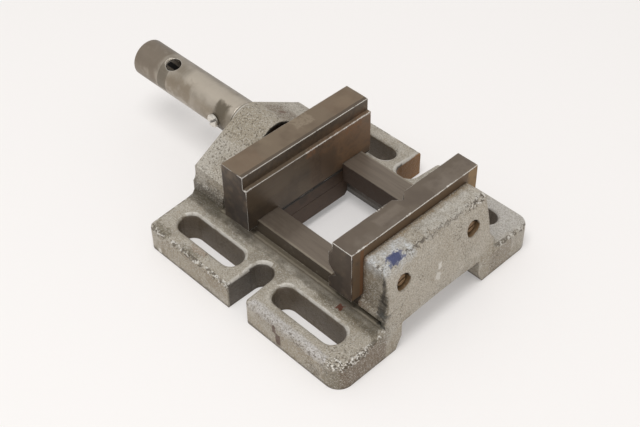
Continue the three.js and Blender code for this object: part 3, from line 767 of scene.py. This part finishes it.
@dataclass
class Bed:
    """The bed casting, its fixed jaw and what is fastened to them.

    Attributes:
        rail_top: Height of the rails, in millimetres.
        rail_inner: Half the width of the window between them.
        rail_outer: Half the width over both rails.
        ledge: Height of the ledge beside a rail.
        boss_face: Place along X of the boss's front.
        block_face: Place along X of the block's front.
        window_front: Place along X of the window's front end.
    """

    rail_top: float = 32.3
    rail_inner: float = 26.3
    rail_outer: float = 42.2
    ledge: float = 23.0
    boss_face: float = -4.95
    block_face: float = 105.0
    window_front: float = 96.8

    def ground_places(self) -> list[Patch]:
        """The milled and ground places of the casting, with painted shade in its recesses and a painted
        reflection on the near rail.

        Returns:
            One patch for each place, most of them the same on both sides.
        """
        rail_steel = Coat("#81766A", 0.38, 0.6)
        flank_oil = Coat("#33281B", 0.5, 0.1)
        inner_oil_and_shade = Coat("#321C0C", 0.8)
        fillet_dirt = Coat("#544D3E", 0.6)
        ledge_wear = Coat("#655D4E", 0.5, 0.2)
        rubbed_line_and_highlight = Coat("#A39A8A", 0.4, 0.4)
        front, back = self.boss_face, self.block_face
        inner, outer, top, ledge = self.rail_inner, self.rail_outer, self.rail_top, self.ledge
        return [
            Patch((-31, outer, 20), (122, 50.0, 24), fillet_dirt, 2.4, 1.4, 6, 0.75, True),
            Patch((front - 3, outer, ledge - 0.8), (122, 46.4, ledge + 0.4), ledge_wear,
                  0.8, 0.5, 6, 0.9, True),
            # rubbed pale, with a painted highlight: a thin line along the ledge
            Patch((front, 44.4, ledge - 0.4), (122, 45.5, ledge + 0.4), rubbed_line_and_highlight,
                  0.6, 0.5, 9, 0.6, True),
            Patch((front, inner - 1, top - 0.4), (back, outer + 0.3, top + 0.7), rail_steel,
                  0.3, 0.1, 4, 1, True),
            # rubbed pale, with a painted highlight: the rail's outer top edge
            Patch((front, outer - 1.1, top - 0.7), (back, outer + 0.3, top + 0.7), rubbed_line_and_highlight,
                  0.5, 0.3, 7, 0.55, True),
            Patch((front, outer - 0.3, ledge + 0.3), (back, outer + 0.6, top - 0.4), flank_oil,
                  0.5, 0.2, 5, 0.92, True),
            # painted reflection: the near rail's top darker beside the sliding jaw, as if it mirrored the
            # jaw
            Patch((16, -43, top - 0.4), (44, -26, top + 0.7), Coat("#4E4338", 0.4, 0.4),
                  16, 5, 8, 0.75),
            # oil, with painted shade: the rails' inner walls darkened inside the window
            Patch((front, inner - 0.6, 14), (self.window_front + 2, inner + 0.5, top - 0.4), inner_oil_and_shade,
                  0.5, 0.2, 5, 0.92, True),
            # oil, with painted shade: the channel walls under the rails darkened
            Patch((front, 30, -1), (110, 37.5, 19.5), OIL_AND_SHADE, 3, 2, 5, 0.85, True),
            # oil, with painted shade: the window's front wall under the fixed jaw darkened
            Patch((self.window_front - 1, -30, -1), (back, 30, 31), inner_oil_and_shade, 1, 0.5, 5, 0.85),
        ]

    def walls(self) -> list[Patch]:
        """The walls of the slots and notches, brown with old oil and darkened as painted shade from just
        below their rims.

        Returns:
            One patch for each part of an opening.
        """
        slot_oil_and_shade = Coat("#5B4C39", 0.65)
        notch_oil_and_shade = Coat("#35291B", 0.65)
        patches = []
        for rear, front in ((-20.8, 31.5), (59.8, 112.1)):
            patches += [
                Patch((rear, 55.2, -1), (front, 63, 18.3), slot_oil_and_shade, 0.9, 0.5, 3, 0.8, True),
                Patch((rear, 62.5, -1), (front, 70.8, 17.0), slot_oil_and_shade, 0.9, 0.5, 3, 0.8, True),
            ]
        patches += [
            Patch((37.8, 51.5, -1), (53.5, 63, 18.3), notch_oil_and_shade, 0.9, 0.6, 3, 0.8, True),
            Patch((37.8, 62.5, -1), (53.5, 79, 16.8), notch_oil_and_shade, 0.9, 0.6, 3, 0.8, True),
            Patch((37.4, 57, -1), (39.4, 81, 17), Coat("#8C6230", 0.8), 1.2, 0.6, 5, 0.9),
        ]
        return patches

    def bores(self) -> list[Patch]:
        """The walls of the two counterbores in the block, brown with rust, and painted shade on the upper
        wall.

        Returns:
            The patches, the same on both sides.
        """
        low, high = millimetre_box("fixed_jaw_screw_right")
        y, z = abs(low[1] + high[1]) / 2, (low[2] + high[2]) / 2
        x, reach = self.block_face + 1, 5.9
        tan, brown = Coat("#775C3A", 0.75), Coat("#35230F", 0.75)
        return [
            Patch((x, y - reach, z - reach), (121.8, y + reach, z + 0.5), tan, 0.6, 0.5, 3, 0.9, True),
            # painted shade: the upper wall of each counterbore darker
            Patch((x, y - reach, z), (120.3, y + reach, z + 6.2), brown, 1.2, 0.5, 3, 0.9, True),
        ]

    def block_stains(self) -> list[Patch]:
        """The stained places of the block behind the fixed jaw, and its back painted paler as painted
        light, under its grain.

        Returns:
            One patch for each place.
        """
        return [
            # the back painted paler: painted light
            Patch((117, -42, 24), (127, 42, 58), Coat("#BDB4A5", 0.42, 0.15), 4, 8, 12, 0.6),
            # paint gone bluish white on the corner, ochre and rust creeping from the joint
            Patch((106, -42, 55), (119, -17, 61), Coat("#D3D7DA", 0.45, 0.15), 6, 5, 8, 0.95),
            Patch((108, -6, 58), (117, 38, 61), Coat("#C8C5BE", 0.45, 0.15), 4, 5, 7, 0.7),
            Patch((104, -38, 59), (107.6, 42, 62), OCHRE, 3, 4, 2.5, 0.75),
            Patch((103, -42, 58.5), (106, 42, 62), Coat("#54412C", 0.8), 1.6, 1.2, 3, 0.85),
            Patch((103.5, -45, 24), (106.6, -40.5, 60.5), Coat("#6E4520", 0.85), 1.6, 1.8, 5, 0.85),
            Patch((104, -45, 24), (112, -40.5, 40), RUST, 6, 4, 6, 0.55),
            Patch((103.5, 40.5, 24), (106.0, 45, 61), RUST, 1.6, 1.5, 5, 0.8),
            # dark, oily end of the block, darkest beside its front corner
            Patch((104, -44, 24), (124, -40.5, 58), Coat("#655B49", 0.6), 2, 2, 6, 0.8),
            Patch((104, -47, 22), (124, -41, 26.5), GRIME_AND_SHADE, 3, 2.5, 5, 0.6),
        ]

    def stains(self) -> list[Patch]:
        """The stained and worn places of the bed and the boss, and some painted light, under their grain.

        Returns:
            One patch for each place.
        """
        pale = Coat("#C3C0BC", 0.42, 0.15)
        return [
            # darker bands beside the rail and at the foot of the boss, and olive dirt beside the rail near
            # the block
            Patch((-31, -53, 20), (26, -46, 24), Coat("#6A6150", 0.55), 3, 2, 6, 0.75),
            Patch((80, -53, 19), (125, -47.5, 24), OLIVE_DIRT, 3, 2, 6, 0.85),
            Patch((-33, -48.5, 20), (-3, -42.5, 34), Coat("#362F24", 0.65), 3, 1.5, 5, 0.9),
            # pale stretches: the long front edge, with a painted highlight where it rounds over; the near
            # side of the boss, painted paler as painted light; the far front corner's clean paint
            Patch((56, -80.5, 14.5), (114, -75.5, 19), Coat("#C6C3C2", 0.42, 0.15), 2.5, 1.5, 5, 0.8),
            Patch((30, -60, 18), (60, -50, 23), Coat("#857C6C", 0.5), 3, 2, 5, 0.75),
            Patch((-33, -46, 30), (-20, -22, 60), Coat("#C0BBB1", 0.42, 0.15), 5, 4, 8, 0.6),
            Patch((96, 52, 14), (124, 80, 22), pale, 6, 6, 8, 0.8),
            # runs and dirt on the sides
            Patch((104, -81, 2), (111, -79, 9), Coat("#5B4D3A", 0.75), 2, 3, 3, 0.6),
            Patch((20, -81, 6), (37, -79, 17), Coat("#85755B", 0.65), 4, 3, 4, 0.65),
            Patch((60, -81, 10), (100, -79, 17), Coat("#8F8370", 0.6), 4, 4, 5, 0.5),
            Patch((98, -57, 19), (112, -47, 24), Coat("#8A7B61", 0.7), 4, 5, 6, 0.4),
            # dirt on the near corners and along the foot
            Patch((-29, -79.5, 15), (-15, -74, 20), OLIVE_DIRT, 2, 5, 2.4, 0.85),
            Patch((-4, -79, 15), (12, -75, 20), OLIVE_DIRT, 2, 5, 2.4, 0.7),
            Patch((0, -75.5, 15), (13, -71.5, 20), Coat("#85644A", 0.7), 2, 4, 2.4, 0.45),
            Patch((-33, -82, -2), (127, -79, 1.6), GRIME_AND_SHADE, 2.4, 2.2, 4, 0.7),
            # the darker front of the feet
            Patch((114, -81, -1), (127.5, -64, 16), Coat("#6C6350", 0.6), 4, 5, 5, 0.8),
            Patch((123.5, -81, -1), (127.5, -44, 19), Coat("#66513A", 0.65), 2, 3, 6, 0.85),
            Patch((114, -52, 14), (127.5, -42, 22), Coat("#7E7565", 0.6), 4, 3, 6, 0.7),
            Patch((123.5, 42, -1), (127.5, 62, 17), Coat("#8C8070", 0.6), 3, 3, 6, 0.7),
            # the boss: browner on top, stained on its far slope
            Patch((-33, -20, 52), (-4, 24, 62), Coat("#9A8F7B", 0.55), 5, 5, 8, 0.7),
            Patch((-26, 8, 50), (-7, 24, 62), Coat("#6B583F", 0.7), 4, 5, 4, 0.8),
        ]

    def spots(self) -> list[Patch]:
        """The small sharp marks on top of everything, with painted shade in the gap round the spindle's
        neck.

        Returns:
            One patch for each mark.
        """
        blue, stain = Coat("#464D70", 0.5), Coat("#53392B", 0.8)
        seam = Coat("#5A5248", 0.7)
        return [
            # a splash of blue paint over the block's rounded edge, broken at its rim
            Patch((114.0, -33.2, 57), (118.0, -26.4, 62), blue, 0.3, 3.4, 2.6, 0.96),
            Patch((113.2, -35.2, 57), (118.8, -24.2, 62), blue, 0.3, 4.6, 1.5, 0.75),
            # rust on the flange and a run down its side
            Patch((93.6, -50.0, 18), (97.4, -46.6, 24.5), Coat("#5A2C18", 0.8), 0.6, 2.6, 2.0, 0.95),
            Patch((75.0, -81, 9.4), (77.6, -79, 15.2), stain, 1.0, 1.8, 2.4, 0.85),
            Patch((77.4, -81, 2.4), (81.4, -79, 10.4), stain, 1.2, 1.8, 2.4, 0.9),
            Patch((-18, 14, 50), (-15.4, 18.5, 60), RUST, 1, 2.4, 1.8, 0.8),
            # oil run down beside the block's front corner, widening to its foot
            Patch((118.6, -44, 36), (121.4, -40.5, 55), SOOT_AND_SHADE, 1.4, 2.0, 3, 0.8),
            Patch((117.2, -44, 27), (122.6, -40.5, 43), SOOT_AND_SHADE, 1.8, 2.4, 3, 0.75),
            Patch((119.0, -45, 22), (124.2, -40.5, 31), Coat("#35342F", 0.55), 1.8, 2.0, 3, 0.8),
            # cracked seam where the block's top rolls over, and pale chips low on its back
            Patch((117.0, -22, 55), (117.7, -6, 61), seam, 0.4, 2.6, 4.5, 0.8),
            Patch((117.4, -6, 55), (118.0, 22, 61), seam, 0.4, 2.6, 4.5, 0.5),
            Patch((118, -2, 36), (126, 1, 40), BRIGHT_CHIP, 0.8, 2.6, 1.4, 0.8),
            Patch((118, -4, 29), (126, -1, 34), BRIGHT_CHIP, 0.8, 2.6, 1.4, 0.7),
            Patch((-24, -81, 0.8), (-21.5, -79, 3.6), BRIGHT_CHIP, 0.8, 1.5, 2, 0.9),
            # painted shade in the gap round the spindle's neck
            Patch((-5.2, -12, 40), (-4, 12, 62), SOOT_AND_SHADE, 0.4, 0.2, 4, 0.95),
        ]

    def places(self) -> CastingPlaces:
        """Where each kind of wear and dirt lies on the casting, and where light and shade are painted.

        Returns:
            The places by kind.
        """
        return CastingPlaces(
            ground=self.ground_places(),
            stains=self.block_stains() + self.stains(),
            spots=self.walls() + self.bores() + self.spots(),
            # the boss, the flange's corner and long edge, and the block's edge
            pitted=[
                Patch((-33, -44, 26), (self.boss_face + 1, 44, 64), soft=4),
                Patch((108, -82, 9), (127, -60, 22), soft=5, ragged=4),
                Patch((-33, -82, 13), (127, -77, 19), soft=2),
                Patch((115, -42, 56), (121, 42, 63), soft=2, ragged=2),
            ],
            # the rims of the slots and the notches, rubbed pale, with a painted highlight
            rims=[Patch(low, high, soft=0.5, ragged=0.3, twin=True) for low, high in (
                ((-22.5, 54.4, 16.5), (33, 60, 21)),
                ((58, 54.4, 16.5), (114, 60, 21)),
                ((36.5, 51, 15.5), (46, 81, 21)),
            )],
            # the outer edges of the flanges
            rubbed=[Patch(low, high, soft=0.5, ragged=0.3, twin=True) for low, high in (
                ((-33, 77.5, 13), (40, 81, 19)),
                ((123.5, 42, 13), (127.5, 81, 22)),
                ((-33, 46, 13), (-29, 81, 22)),
            )],
            # the corners of a flange, then those of the block
            chipped=[
                Patch((34.5, -81, 15.6), (40, -76.6, 19), None, 1.2, 1.5, 2),
                Patch((22, -80.6, 16), (36, -79, 18), None, 1.2, 1.5, 2),
                Patch((116, -80.6, 14.4), (127.5, -73, 19), None, 1.6, 2.4, 3),
                Patch((123, -77, 15), (127.5, -58, 20.5), None, 1.6, 1.5, 3),
                Patch((112.5, -42, 58.6), (118, -39.6, 61), None, 1, 1.5, 2),
                Patch((116.5, 26, 56), (120, 42, 61), None, 1, 1.5, 2),
            ],
            rails=Patch((-5, -46.4, 13), (89, 46.4, 34), soft=0.8, ragged=0),
        )

    def dress_jaw_plate(self) -> None:
        """Dresses the fixed jaw's plate."""
        warm = Coat("#8F8478", 0.34, 0.6)
        stains = [
            Patch((87, -50, 66.2), (98, -30, 67.4), Coat("#6B5F55", 0.4, 0.6), 5, 3, 8, 0.5),
            Patch((94.5, -23, 66.2), (99.5, -5, 67.4), warm, 3, 2.5, 6, 0.6),
            Patch((96, 18, 66.2), (105, 50, 67.4), warm, 6, 4, 8, 0.5),
            Patch((103.8, -50, 32), (105.2, 50, 66.4), Coat("#6C5741", 0.6, 0.3), 0.8, 0.8, 5, 0.9),
            Patch((103.8, -43.2, 32), (105.2, -40.6, 66), Coat("#704A29", 0.85), 0.8, 0.8, 4, 0.75),
            Patch((103.8, 42, 40), (105.2, 50, 66.4), Coat("#96794F", 0.6), 1.5, 1.5, 5, 0.85),
            Patch((87, -50.5, 32), (105, -49, 66.6), Coat("#3D322A", 0.42, 0.5), 1, 1, 6, 0.8),
            Patch((87, -50.5, 50), (100, -49, 66.6), Coat("#5F5447", 0.4, 0.5), 6, 4, 6, 0.5),
            Patch((87, -50.5, 32), (98, -49, 46), Coat("#27211C", 0.42, 0.4), 5, 4, 6, 0.65),
        ]
        # edges worn bright all along, with a painted glint
        bright = [
            Patch((103.2, -51, 66), (105.6, 51, 67.6), soft=0.5, ragged=0.3),
            Patch((86.8, -51, 64), (105.6, -49.2, 67.6), soft=0.5, ragged=0.3),
        ]
        nicked = [Patch((x0, y0, 65.5), (x1, y1, 67.6), soft=0.5, ragged=0.5) for x0, y0, x1, y1 in (
            (102.5, -8, 105.6, -4), (102.5, 14, 105.6, 18), (102.5, 24, 105.6, 28),
            (102.5, -46, 105.6, -38), (86.8, -18, 93, -12), (86.8, -46, 89, -41),
        )]
        # the top's paler steel is painted light
        plate = HardenedJaw("hardened_fixed_jaw", top=Coat("#72675B", 0.4, 0.6),
                            top_dark=Coat("#675C52", 0.42, 0.6), top_pale=Coat("#8A8075", 0.36, 0.6))
        dress("fixed_jaw_plate", plate.build(stains, bright, nicked))

    def dress(self) -> None:
        """Dresses the casting, the fixed jaw, its screws and the washers."""
        dress("base_casting", SandCastPaint().build(self.places()))
        self.dress_jaw_plate()
        rusty, brown = Coat("#8A6F50", 0.55, 0.3), Coat("#5A3F26", 0.85)
        screw = BrightSteel("rusty_screw_steel", rusty, brown, 0.6).build()
        for hand in ("left", "right"):
            dress(f"fixed_jaw_screw_{hand}", screw)
            dress(f"fixed_jaw_washer_{hand}", screw)
        washer = BrightSteel("rolled_thrust_washer").build()
        dress("front_thrust_washer", washer)
        dress("rear_thrust_washer", washer)


@dataclass
class Slide:
    """The sliding jaw, what is clamped under it, and the spindle that draws it.

    Attributes:
        lead: Travel of one turn of the thread, in millimetres.
        depth: Depth of the thread.
        crest: Half the width of a crest, as a share of the lead.
        flank: Width of a flank, as a share of the lead.
        runout: Length over which the cut comes up at the thread's front end.
        tail_chamfer: How much is taken off the spindle's tail end.
        relief_length: Length of the groove in front of the thread.
        relief_depth: Depth of that groove.
        collar_length: Length of the full-width collar that meets the jaw.
        jaw_gap: Gap between the collar and the jaw.
        neck: Radius of the neck that the jaw holds.
        columns: Sides of the threaded bar.
        steps: Stations along one turn of the thread.
    """

    lead: float = 3.0
    depth: float = 1.6
    crest: float = 0.18
    flank: float = 0.14
    runout: float = 2.0
    tail_chamfer: float = 1.4
    relief_length: float = 3.0
    relief_depth: float = 1.2
    collar_length: float = 3.0
    jaw_gap: float = 0.3
    neck: float = 5.5
    columns: int = 56
    steps: int = 12

    def thread_profile(self, phase: float) -> float:
        """How deep a trapezoidal thread is cut at a phase of its turn, from zero to one.

        Args:
            phase: Share of the lead, from the middle of a crest.

        Returns:
            Share of the full depth.
        """
        away = abs(phase - round(phase))
        return min(max((away - self.crest) / self.flank, 0.0), 1.0)

    def build_spindle(self) -> bpy.types.Object:
        """Makes the spindle with its left-hand trapezoidal thread and its plain neck.

        Returns:
            The spindle's object.
        """
        low, high = millimetre_box("spindle_screw")
        jaw_back = millimetre_box("movable_jaw")[0][0]
        radius = (high[2] - low[2]) / 2
        centre = (high[2] + low[2]) / 2
        shoulder = jaw_back - self.jaw_gap
        collar = shoulder - self.collar_length
        end = collar - self.relief_length
        count = round((end - low[0]) / self.lead * self.steps)
        stations = [(low[0] + (end - low[0]) * i / count, radius, True) for i in range(count + 1)]
        stations += [(end, radius - self.relief_depth, False), (collar, radius - self.relief_depth, False),
                     (collar, radius, False), (shoulder, radius, False),
                     (shoulder, self.neck, False), (high[0], self.neck, False)]
        points, faces = [], []
        for x, reach, threaded in stations:
            tail = x - low[0]
            fade = max(min(tail / self.tail_chamfer, (end - x) / self.runout, 1.0), 0.0)
            chamfer = max(self.tail_chamfer - tail, 0.0)
            for column in range(self.columns):
                turn = column / self.columns
                cut = self.depth * self.thread_profile(x / self.lead + turn) * fade
                r = reach - (max(cut, chamfer) if threaded else 0.0)
                angle = 2 * math.pi * turn
                points.append((x * MM, r * math.cos(angle) * MM, (centre + r * math.sin(angle)) * MM))
        for row in range(len(stations) - 1):
            for column in range(self.columns):
                a = row * self.columns + column
                b = row * self.columns + (column + 1) % self.columns
                faces.append((a, b, b + self.columns, a + self.columns))
        first = range(self.columns)
        faces.append(tuple(first)[::-1])
        faces.append(tuple(len(points) - self.columns + column for column in first))
        mesh = bpy.data.meshes.new("spindle_thread")
        mesh.from_pydata(points, [], faces)
        mesh.validate()
        spindle = bpy.data.objects.new("spindle_thread", mesh)
        bpy.context.collection.objects.link(spindle)
        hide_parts("spindle_screw")
        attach(spindle, Body.JAW.value)
        LOG.info("built spindle_thread, %d faces", len(mesh.polygons))
        return spindle

    def dress(self) -> None:
        """Dresses the sliding jaw, the parts under it and the spindle."""
        reddish = Coat("#7C6450", 0.42, 0.5)
        stains = [
            # soft reddish clouds on the top, and a speckle of dried dirt over the boss
            Patch((4, -46, 66.2), (18, -30, 67.4), reddish, 7, 4, 8, 0.55),
            Patch((4, 26, 66.2), (18, 46, 67.4), reddish, 7, 4, 8, 0.5),
            Patch((2.5, 2, 66.2), (12, 14, 67.4), Coat("#A99C88", 0.45, 0.3), 3, 4, 1.6, 0.5),
            Patch((18.5, -50.2, 59), (21, 50.2, 67.4), Coat("#51473D", 0.42, 0.5), 0.2, 0.2, 5, 0.7),
            # the end: blue-black, darker low down
            Patch((3, -50.6, 28), (24.2, -49.2, 66.6), Coat("#382F2A", 0.4, 0.5), 1.5, 1, 6, 0.85),
            Patch((3, -50.6, 28), (24.2, -49.2, 44), Coat("#2A2725", 0.42, 0.4), 9, 5, 8, 0.75),
            # the face: brown at one end with rust under the ledge, oily at the other
            Patch((23.2, 2, 30), (24.2, 51, 59), Coat("#725742", 0.5, 0.4), 12, 8, 9, 0.8),
            Patch((23.2, 22, 34), (24.2, 51, 58), Coat("#9A7859", 0.5, 0.4), 9, 8, 8, 0.7),
            Patch((23.2, 29, 53.5), (24.2, 41, 59), Coat("#8A5A32", 0.75), 1.5, 4, 2.5, 0.75),
            Patch((23.2, -3.5, 54.5), (24.2, 4, 59), Coat("#865A38", 0.75), 1.5, 3, 1.8, 0.8),
            Patch((23.2, -12, 52), (24.2, 49, 59.6), Coat("#83705C", 0.45, 0.5), 3, 4, 1.7, 0.35),
            Patch((23.2, 2, 28), (24.2, 8, 52), Coat("#3A322B", 0.45, 0.4), 3, 4, 5, 0.45),
            Patch((23.2, 8, 50), (24.2, 40, 59), Coat("#8A6546", 0.6, 0.2), 3, 5, 2.5, 0.5),
            Patch((23.2, -50, 28), (24.2, -12, 42), Coat("#37302A", 0.42, 0.4), 8, 8, 10, 0.5),
            # painted shade: a dark line in the gap along the jaw's lower front edge
            Patch((22.8, -50.6, 27.5), (24.6, 50.6, 29.4), SOOT_AND_SHADE, 0.4, 0.2, 5, 0.9),
        ]
        # edges worn bright all along, with a painted glint
        bright = [
            Patch((18.8, -51, 65.8), (21.9, 51, 67.6), soft=0.5, ragged=0.3),
            Patch((22.6, -51, 56), (24.6, 51, 60.6), soft=0.5, ragged=0.3),
            Patch((17, -51, 55), (24.6, -49.4, 67.6), soft=1, ragged=0.5),
        ]
        nicked = [
            Patch((21.5, -4, 56.5), (24.8, 49, 60.8), soft=1, ragged=0.5),
            Patch((21.5, -51, 56.5), (24.8, -45, 60.8), soft=1, ragged=0.5),
        ]
        dress("movable_jaw", HardenedJaw("hardened_sliding_jaw").build(stains, bright, nicked))
        # painted shade: a dark band in the gap along the slide block's top edge, under the jaw
        oiled = OiledSteel().build([Patch((3, -43, 27), (25, 43, 29), SOOT_AND_SHADE, 0.6, 0.2, 5, 0.9)])
        for node in ("slide_block", "keeper_plate", "keeper_screw_left", "keeper_screw_right",
                     "keeper_washer_left", "keeper_washer_right"):
            dress(node, oiled)
        dress("spindle_pin", BrightSteel("ground_pin_steel").build())
        spindle = self.build_spindle()
        thread_steel, grease = Coat("#8A8378", 0.3, 1.0), Coat("#3A2F22", 0.35, 0.3)
        greased = OiledSteel("greased_thread_steel", thread_steel, grease, 0.5)
        spindle.data.materials.append(greased.build())


@dataclass
class Handle:
    """The nut, and the sleeve that turns it.

    Attributes:
        bore_reach: Long and short half width of the two crossed boxes that lay painted shade in the
            sleeve's bore.
    """

    bore_reach: tuple[float, float] = (9.6, 6.6)

    def dress(self) -> None:
        """Dresses the nut, the sleeve and its screw."""
        dark, brown = Coat("#5E5546", 0.5, 0.3), Coat("#877A68", 0.5, 0.4)
        grey, bore_shade = Coat("#6F675C", 0.45, 0.6), Coat("#1A1310", 0.8)
        low, high = millimetre_box("handle_sleeve")
        middle = (low[2] + high[2]) / 2
        # the crossed boxes' corners reach into the bore's wall, but not to the sleeve's outside
        long, short = self.bore_reach
        stains = [
            # brown-grey with handling at the outer end; a painted highlight along the top and painted
            # shade along the far side
            Patch((-127, -14, 34), (-104, 14, 62), Coat("#7C7062", 0.45, 0.6), 5, 4, 7, 0.8),
            Patch((-80, -9, 52), (-34, 3, 62), Coat("#D2C8B9", 0.34, 0.8), 7, 3, 7, 0.75),
            Patch((-127, 5.5, 34), (-32, 14, 60), grey, 6, 2, 9, 0.6),
            # a darker band below the cross hole, with a ring on either side of it
            Patch((-101.4, -13, 44), (-94.6, -6.0, 60), dark, 0.8, 0.4, 5, 0.7),
            Patch((-102.0, -13, 36), (-101.3, -5, 62), GRIME_AND_SHADE, 0.3, 0, 5, 0.6),
            Patch((-94.7, -13, 36), (-94.0, -5, 62), GRIME_AND_SHADE, 0.3, 0, 5, 0.6),
            # the brown smudge that runs to the screw, and the dark one beyond it
            Patch((-93, -13, 47), (-71, -7.2, 57), brown, 5, 5, 5, 0.8),
            Patch((-66, -13, 42), (-50, -9, 54), brown, 5, 3, 5, 0.5),
            Patch((-48.5, -13.5, 38), (-38.5, -5.5, 60), dark, 3, 2.4, 3, 0.95),
            Patch((-40, -14, 34), (-33, -8, 56), Coat("#6E6453", 0.5, 0.3), 3, 2, 5, 0.6),
            # painted shade inside the bore, near black all along it
            Patch((-127, -long, middle - short), (-32, long, middle + short), bore_shade, 0.3, 0.1, 5, 0.95),
            Patch((-127, -short, middle - long), (-32, short, middle + long), bore_shade, 0.3, 0.1, 5, 0.95),
        ]
        dress("handle_sleeve", TurnedTube().build(stains))
        dress("spindle_nut", OiledSteel("oiled_nut_steel", edge=0.5).build())
        dress("sleeve_screw", BrightSteel("bright_screw_steel").build())


# ---------------------------------------------------------------- light and camera


@dataclass
class Studio:
    """A pale table in even light with a soft lamp above the camera, and the camera.

    Attributes:
        camera_place: Where the camera stands, in millimetres.
        camera_turn: Its turn about X, Y and Z, in degrees.
        lens: Focal length for a 36 mm sensor, in millimetres.
        table_colour: Colour of the table under the lamps.
        table_glow: The pale colour that the table and the backdrop show to the eye and to reflections.
        glow_share: How much of that colour shows over the lit table, which keeps the shadows.
        sky_colour: Colour of the even light from all round.
        sky_strength: Its strength.
        panel_power: Power of the soft lamp, in watts.
        panel_size: Side of the lamp, in millimetres.
        panel_place: Where it hangs, in millimetres.
        table_reach: Half the side of the table, in millimetres.
        table_drop: How far it lies under the vise, in millimetres, so that their faces don't fight.
    """

    camera_place: Point = (391.78, -347.70, 492.78)
    camera_turn: Point = (46.296, 0.634, 45.489)
    lens: float = 65.87
    table_colour: str = "#F5F2F0"
    table_glow: str = "#FDFBFA"
    glow_share: float = 0.26
    sky_colour: str = "#FFFDFB"
    sky_strength: float = 0.63
    panel_power: float = 11.0
    panel_size: float = 650.0
    panel_place: Point = (200.0, -420.0, 1500.0)
    table_reach: float = 3000.0
    table_drop: float = 0.2

    def build_camera(self) -> None:
        """Places the camera."""
        data = bpy.data.cameras.new("camera")
        data.lens = self.lens
        data.sensor_width = 36.0
        data.clip_start = 0.01
        camera = bpy.data.objects.new("camera", data)
        camera.location = Vector(self.camera_place) * MM
        camera.rotation_euler = [math.radians(angle) for angle in self.camera_turn]
        bpy.context.collection.objects.link(camera)
        bpy.context.scene.camera = camera

    def table_finish(self) -> bpy.types.Material:
        """Makes the table's matt white laminate, paler to the eye than the lamps make it.

        Returns:
            The material.
        """
        surface = Surface("matt_white_laminate", Coat(self.table_colour, 0.7))
        # the laminate's fine texture, drawn coarser than the real one so that it shows
        surface.relief(surface.mottle(0.8, 0.3, 0.7, 2), 0.01)
        material = surface.finish(0.1)
        output = next(node for node in surface.tree.nodes if node.type == "OUTPUT_MATERIAL")
        lit = output.inputs[0].links[0].from_socket
        ray = surface.add("ShaderNodeLightPath").outputs
        seen = surface.either(ray["Is Camera Ray"], ray["Is Glossy Ray"], ray["Is Transmission Ray"])
        share = surface.add("ShaderNodeMath", {"operation": "MULTIPLY", 1: self.glow_share}, {0: seen})
        glow = surface.add("ShaderNodeEmission", {"Color": linear(self.table_glow)})
        both = surface.add("ShaderNodeMixShader", {}, {0: share.outputs[0], 1: lit, 2: glow.outputs[0]})
        surface.tree.links.new(both.outputs[0], output.inputs[0])
        return material

    def build_table(self) -> None:
        """Makes the pale table that the vise stands on."""
        mesh = bpy.data.meshes.new("table")
        reach, height = self.table_reach * MM, -self.table_drop * MM
        corners = [(x * reach, y * reach, height) for x, y in ((-1, -1), (1, -1), (1, 1), (-1, 1))]
        mesh.from_pydata(corners, [], [(0, 1, 2, 3)])
        table = bpy.data.objects.new("table", mesh)
        mesh.materials.append(self.table_finish())
        bpy.context.collection.objects.link(table)

    def build_light(self) -> None:
        """Makes the even sky and the soft lamp."""
        world = bpy.data.worlds.new("sky")
        world.use_nodes = True
        background = world.node_tree.nodes["Background"]
        background.inputs["Color"].default_value = linear(self.sky_colour)
        background.inputs["Strength"].default_value = self.sky_strength
        bpy.context.scene.world = world
        panel = bpy.data.lights.new("soft_lamp", "AREA")
        panel.shape = "SQUARE"
        panel.size = self.panel_size * MM
        panel.energy = self.panel_power
        lamp = bpy.data.objects.new("soft_lamp", panel)
        lamp.location = Vector(self.panel_place) * MM
        lamp.rotation_euler = (-Vector(self.panel_place)).to_track_quat("-Z", "Y").to_euler()
        bpy.context.collection.objects.link(lamp)

    def build(self) -> None:
        """Builds the camera, the table and the light."""
        self.build_camera()
        self.build_table()
        self.build_light()
        bpy.context.scene.view_settings.view_transform = "Standard"
        LOG.info("built the studio")


def main() -> None:
    """Builds and dresses the sub-assemblies in order."""
    logging.basicConfig(level=logging.INFO, format="%(message)s")
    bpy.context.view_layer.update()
    Studio().build()
    Bed().dress()
    Slide().dress()
    Handle().dress()


if __name__ == "__main__":
    main()
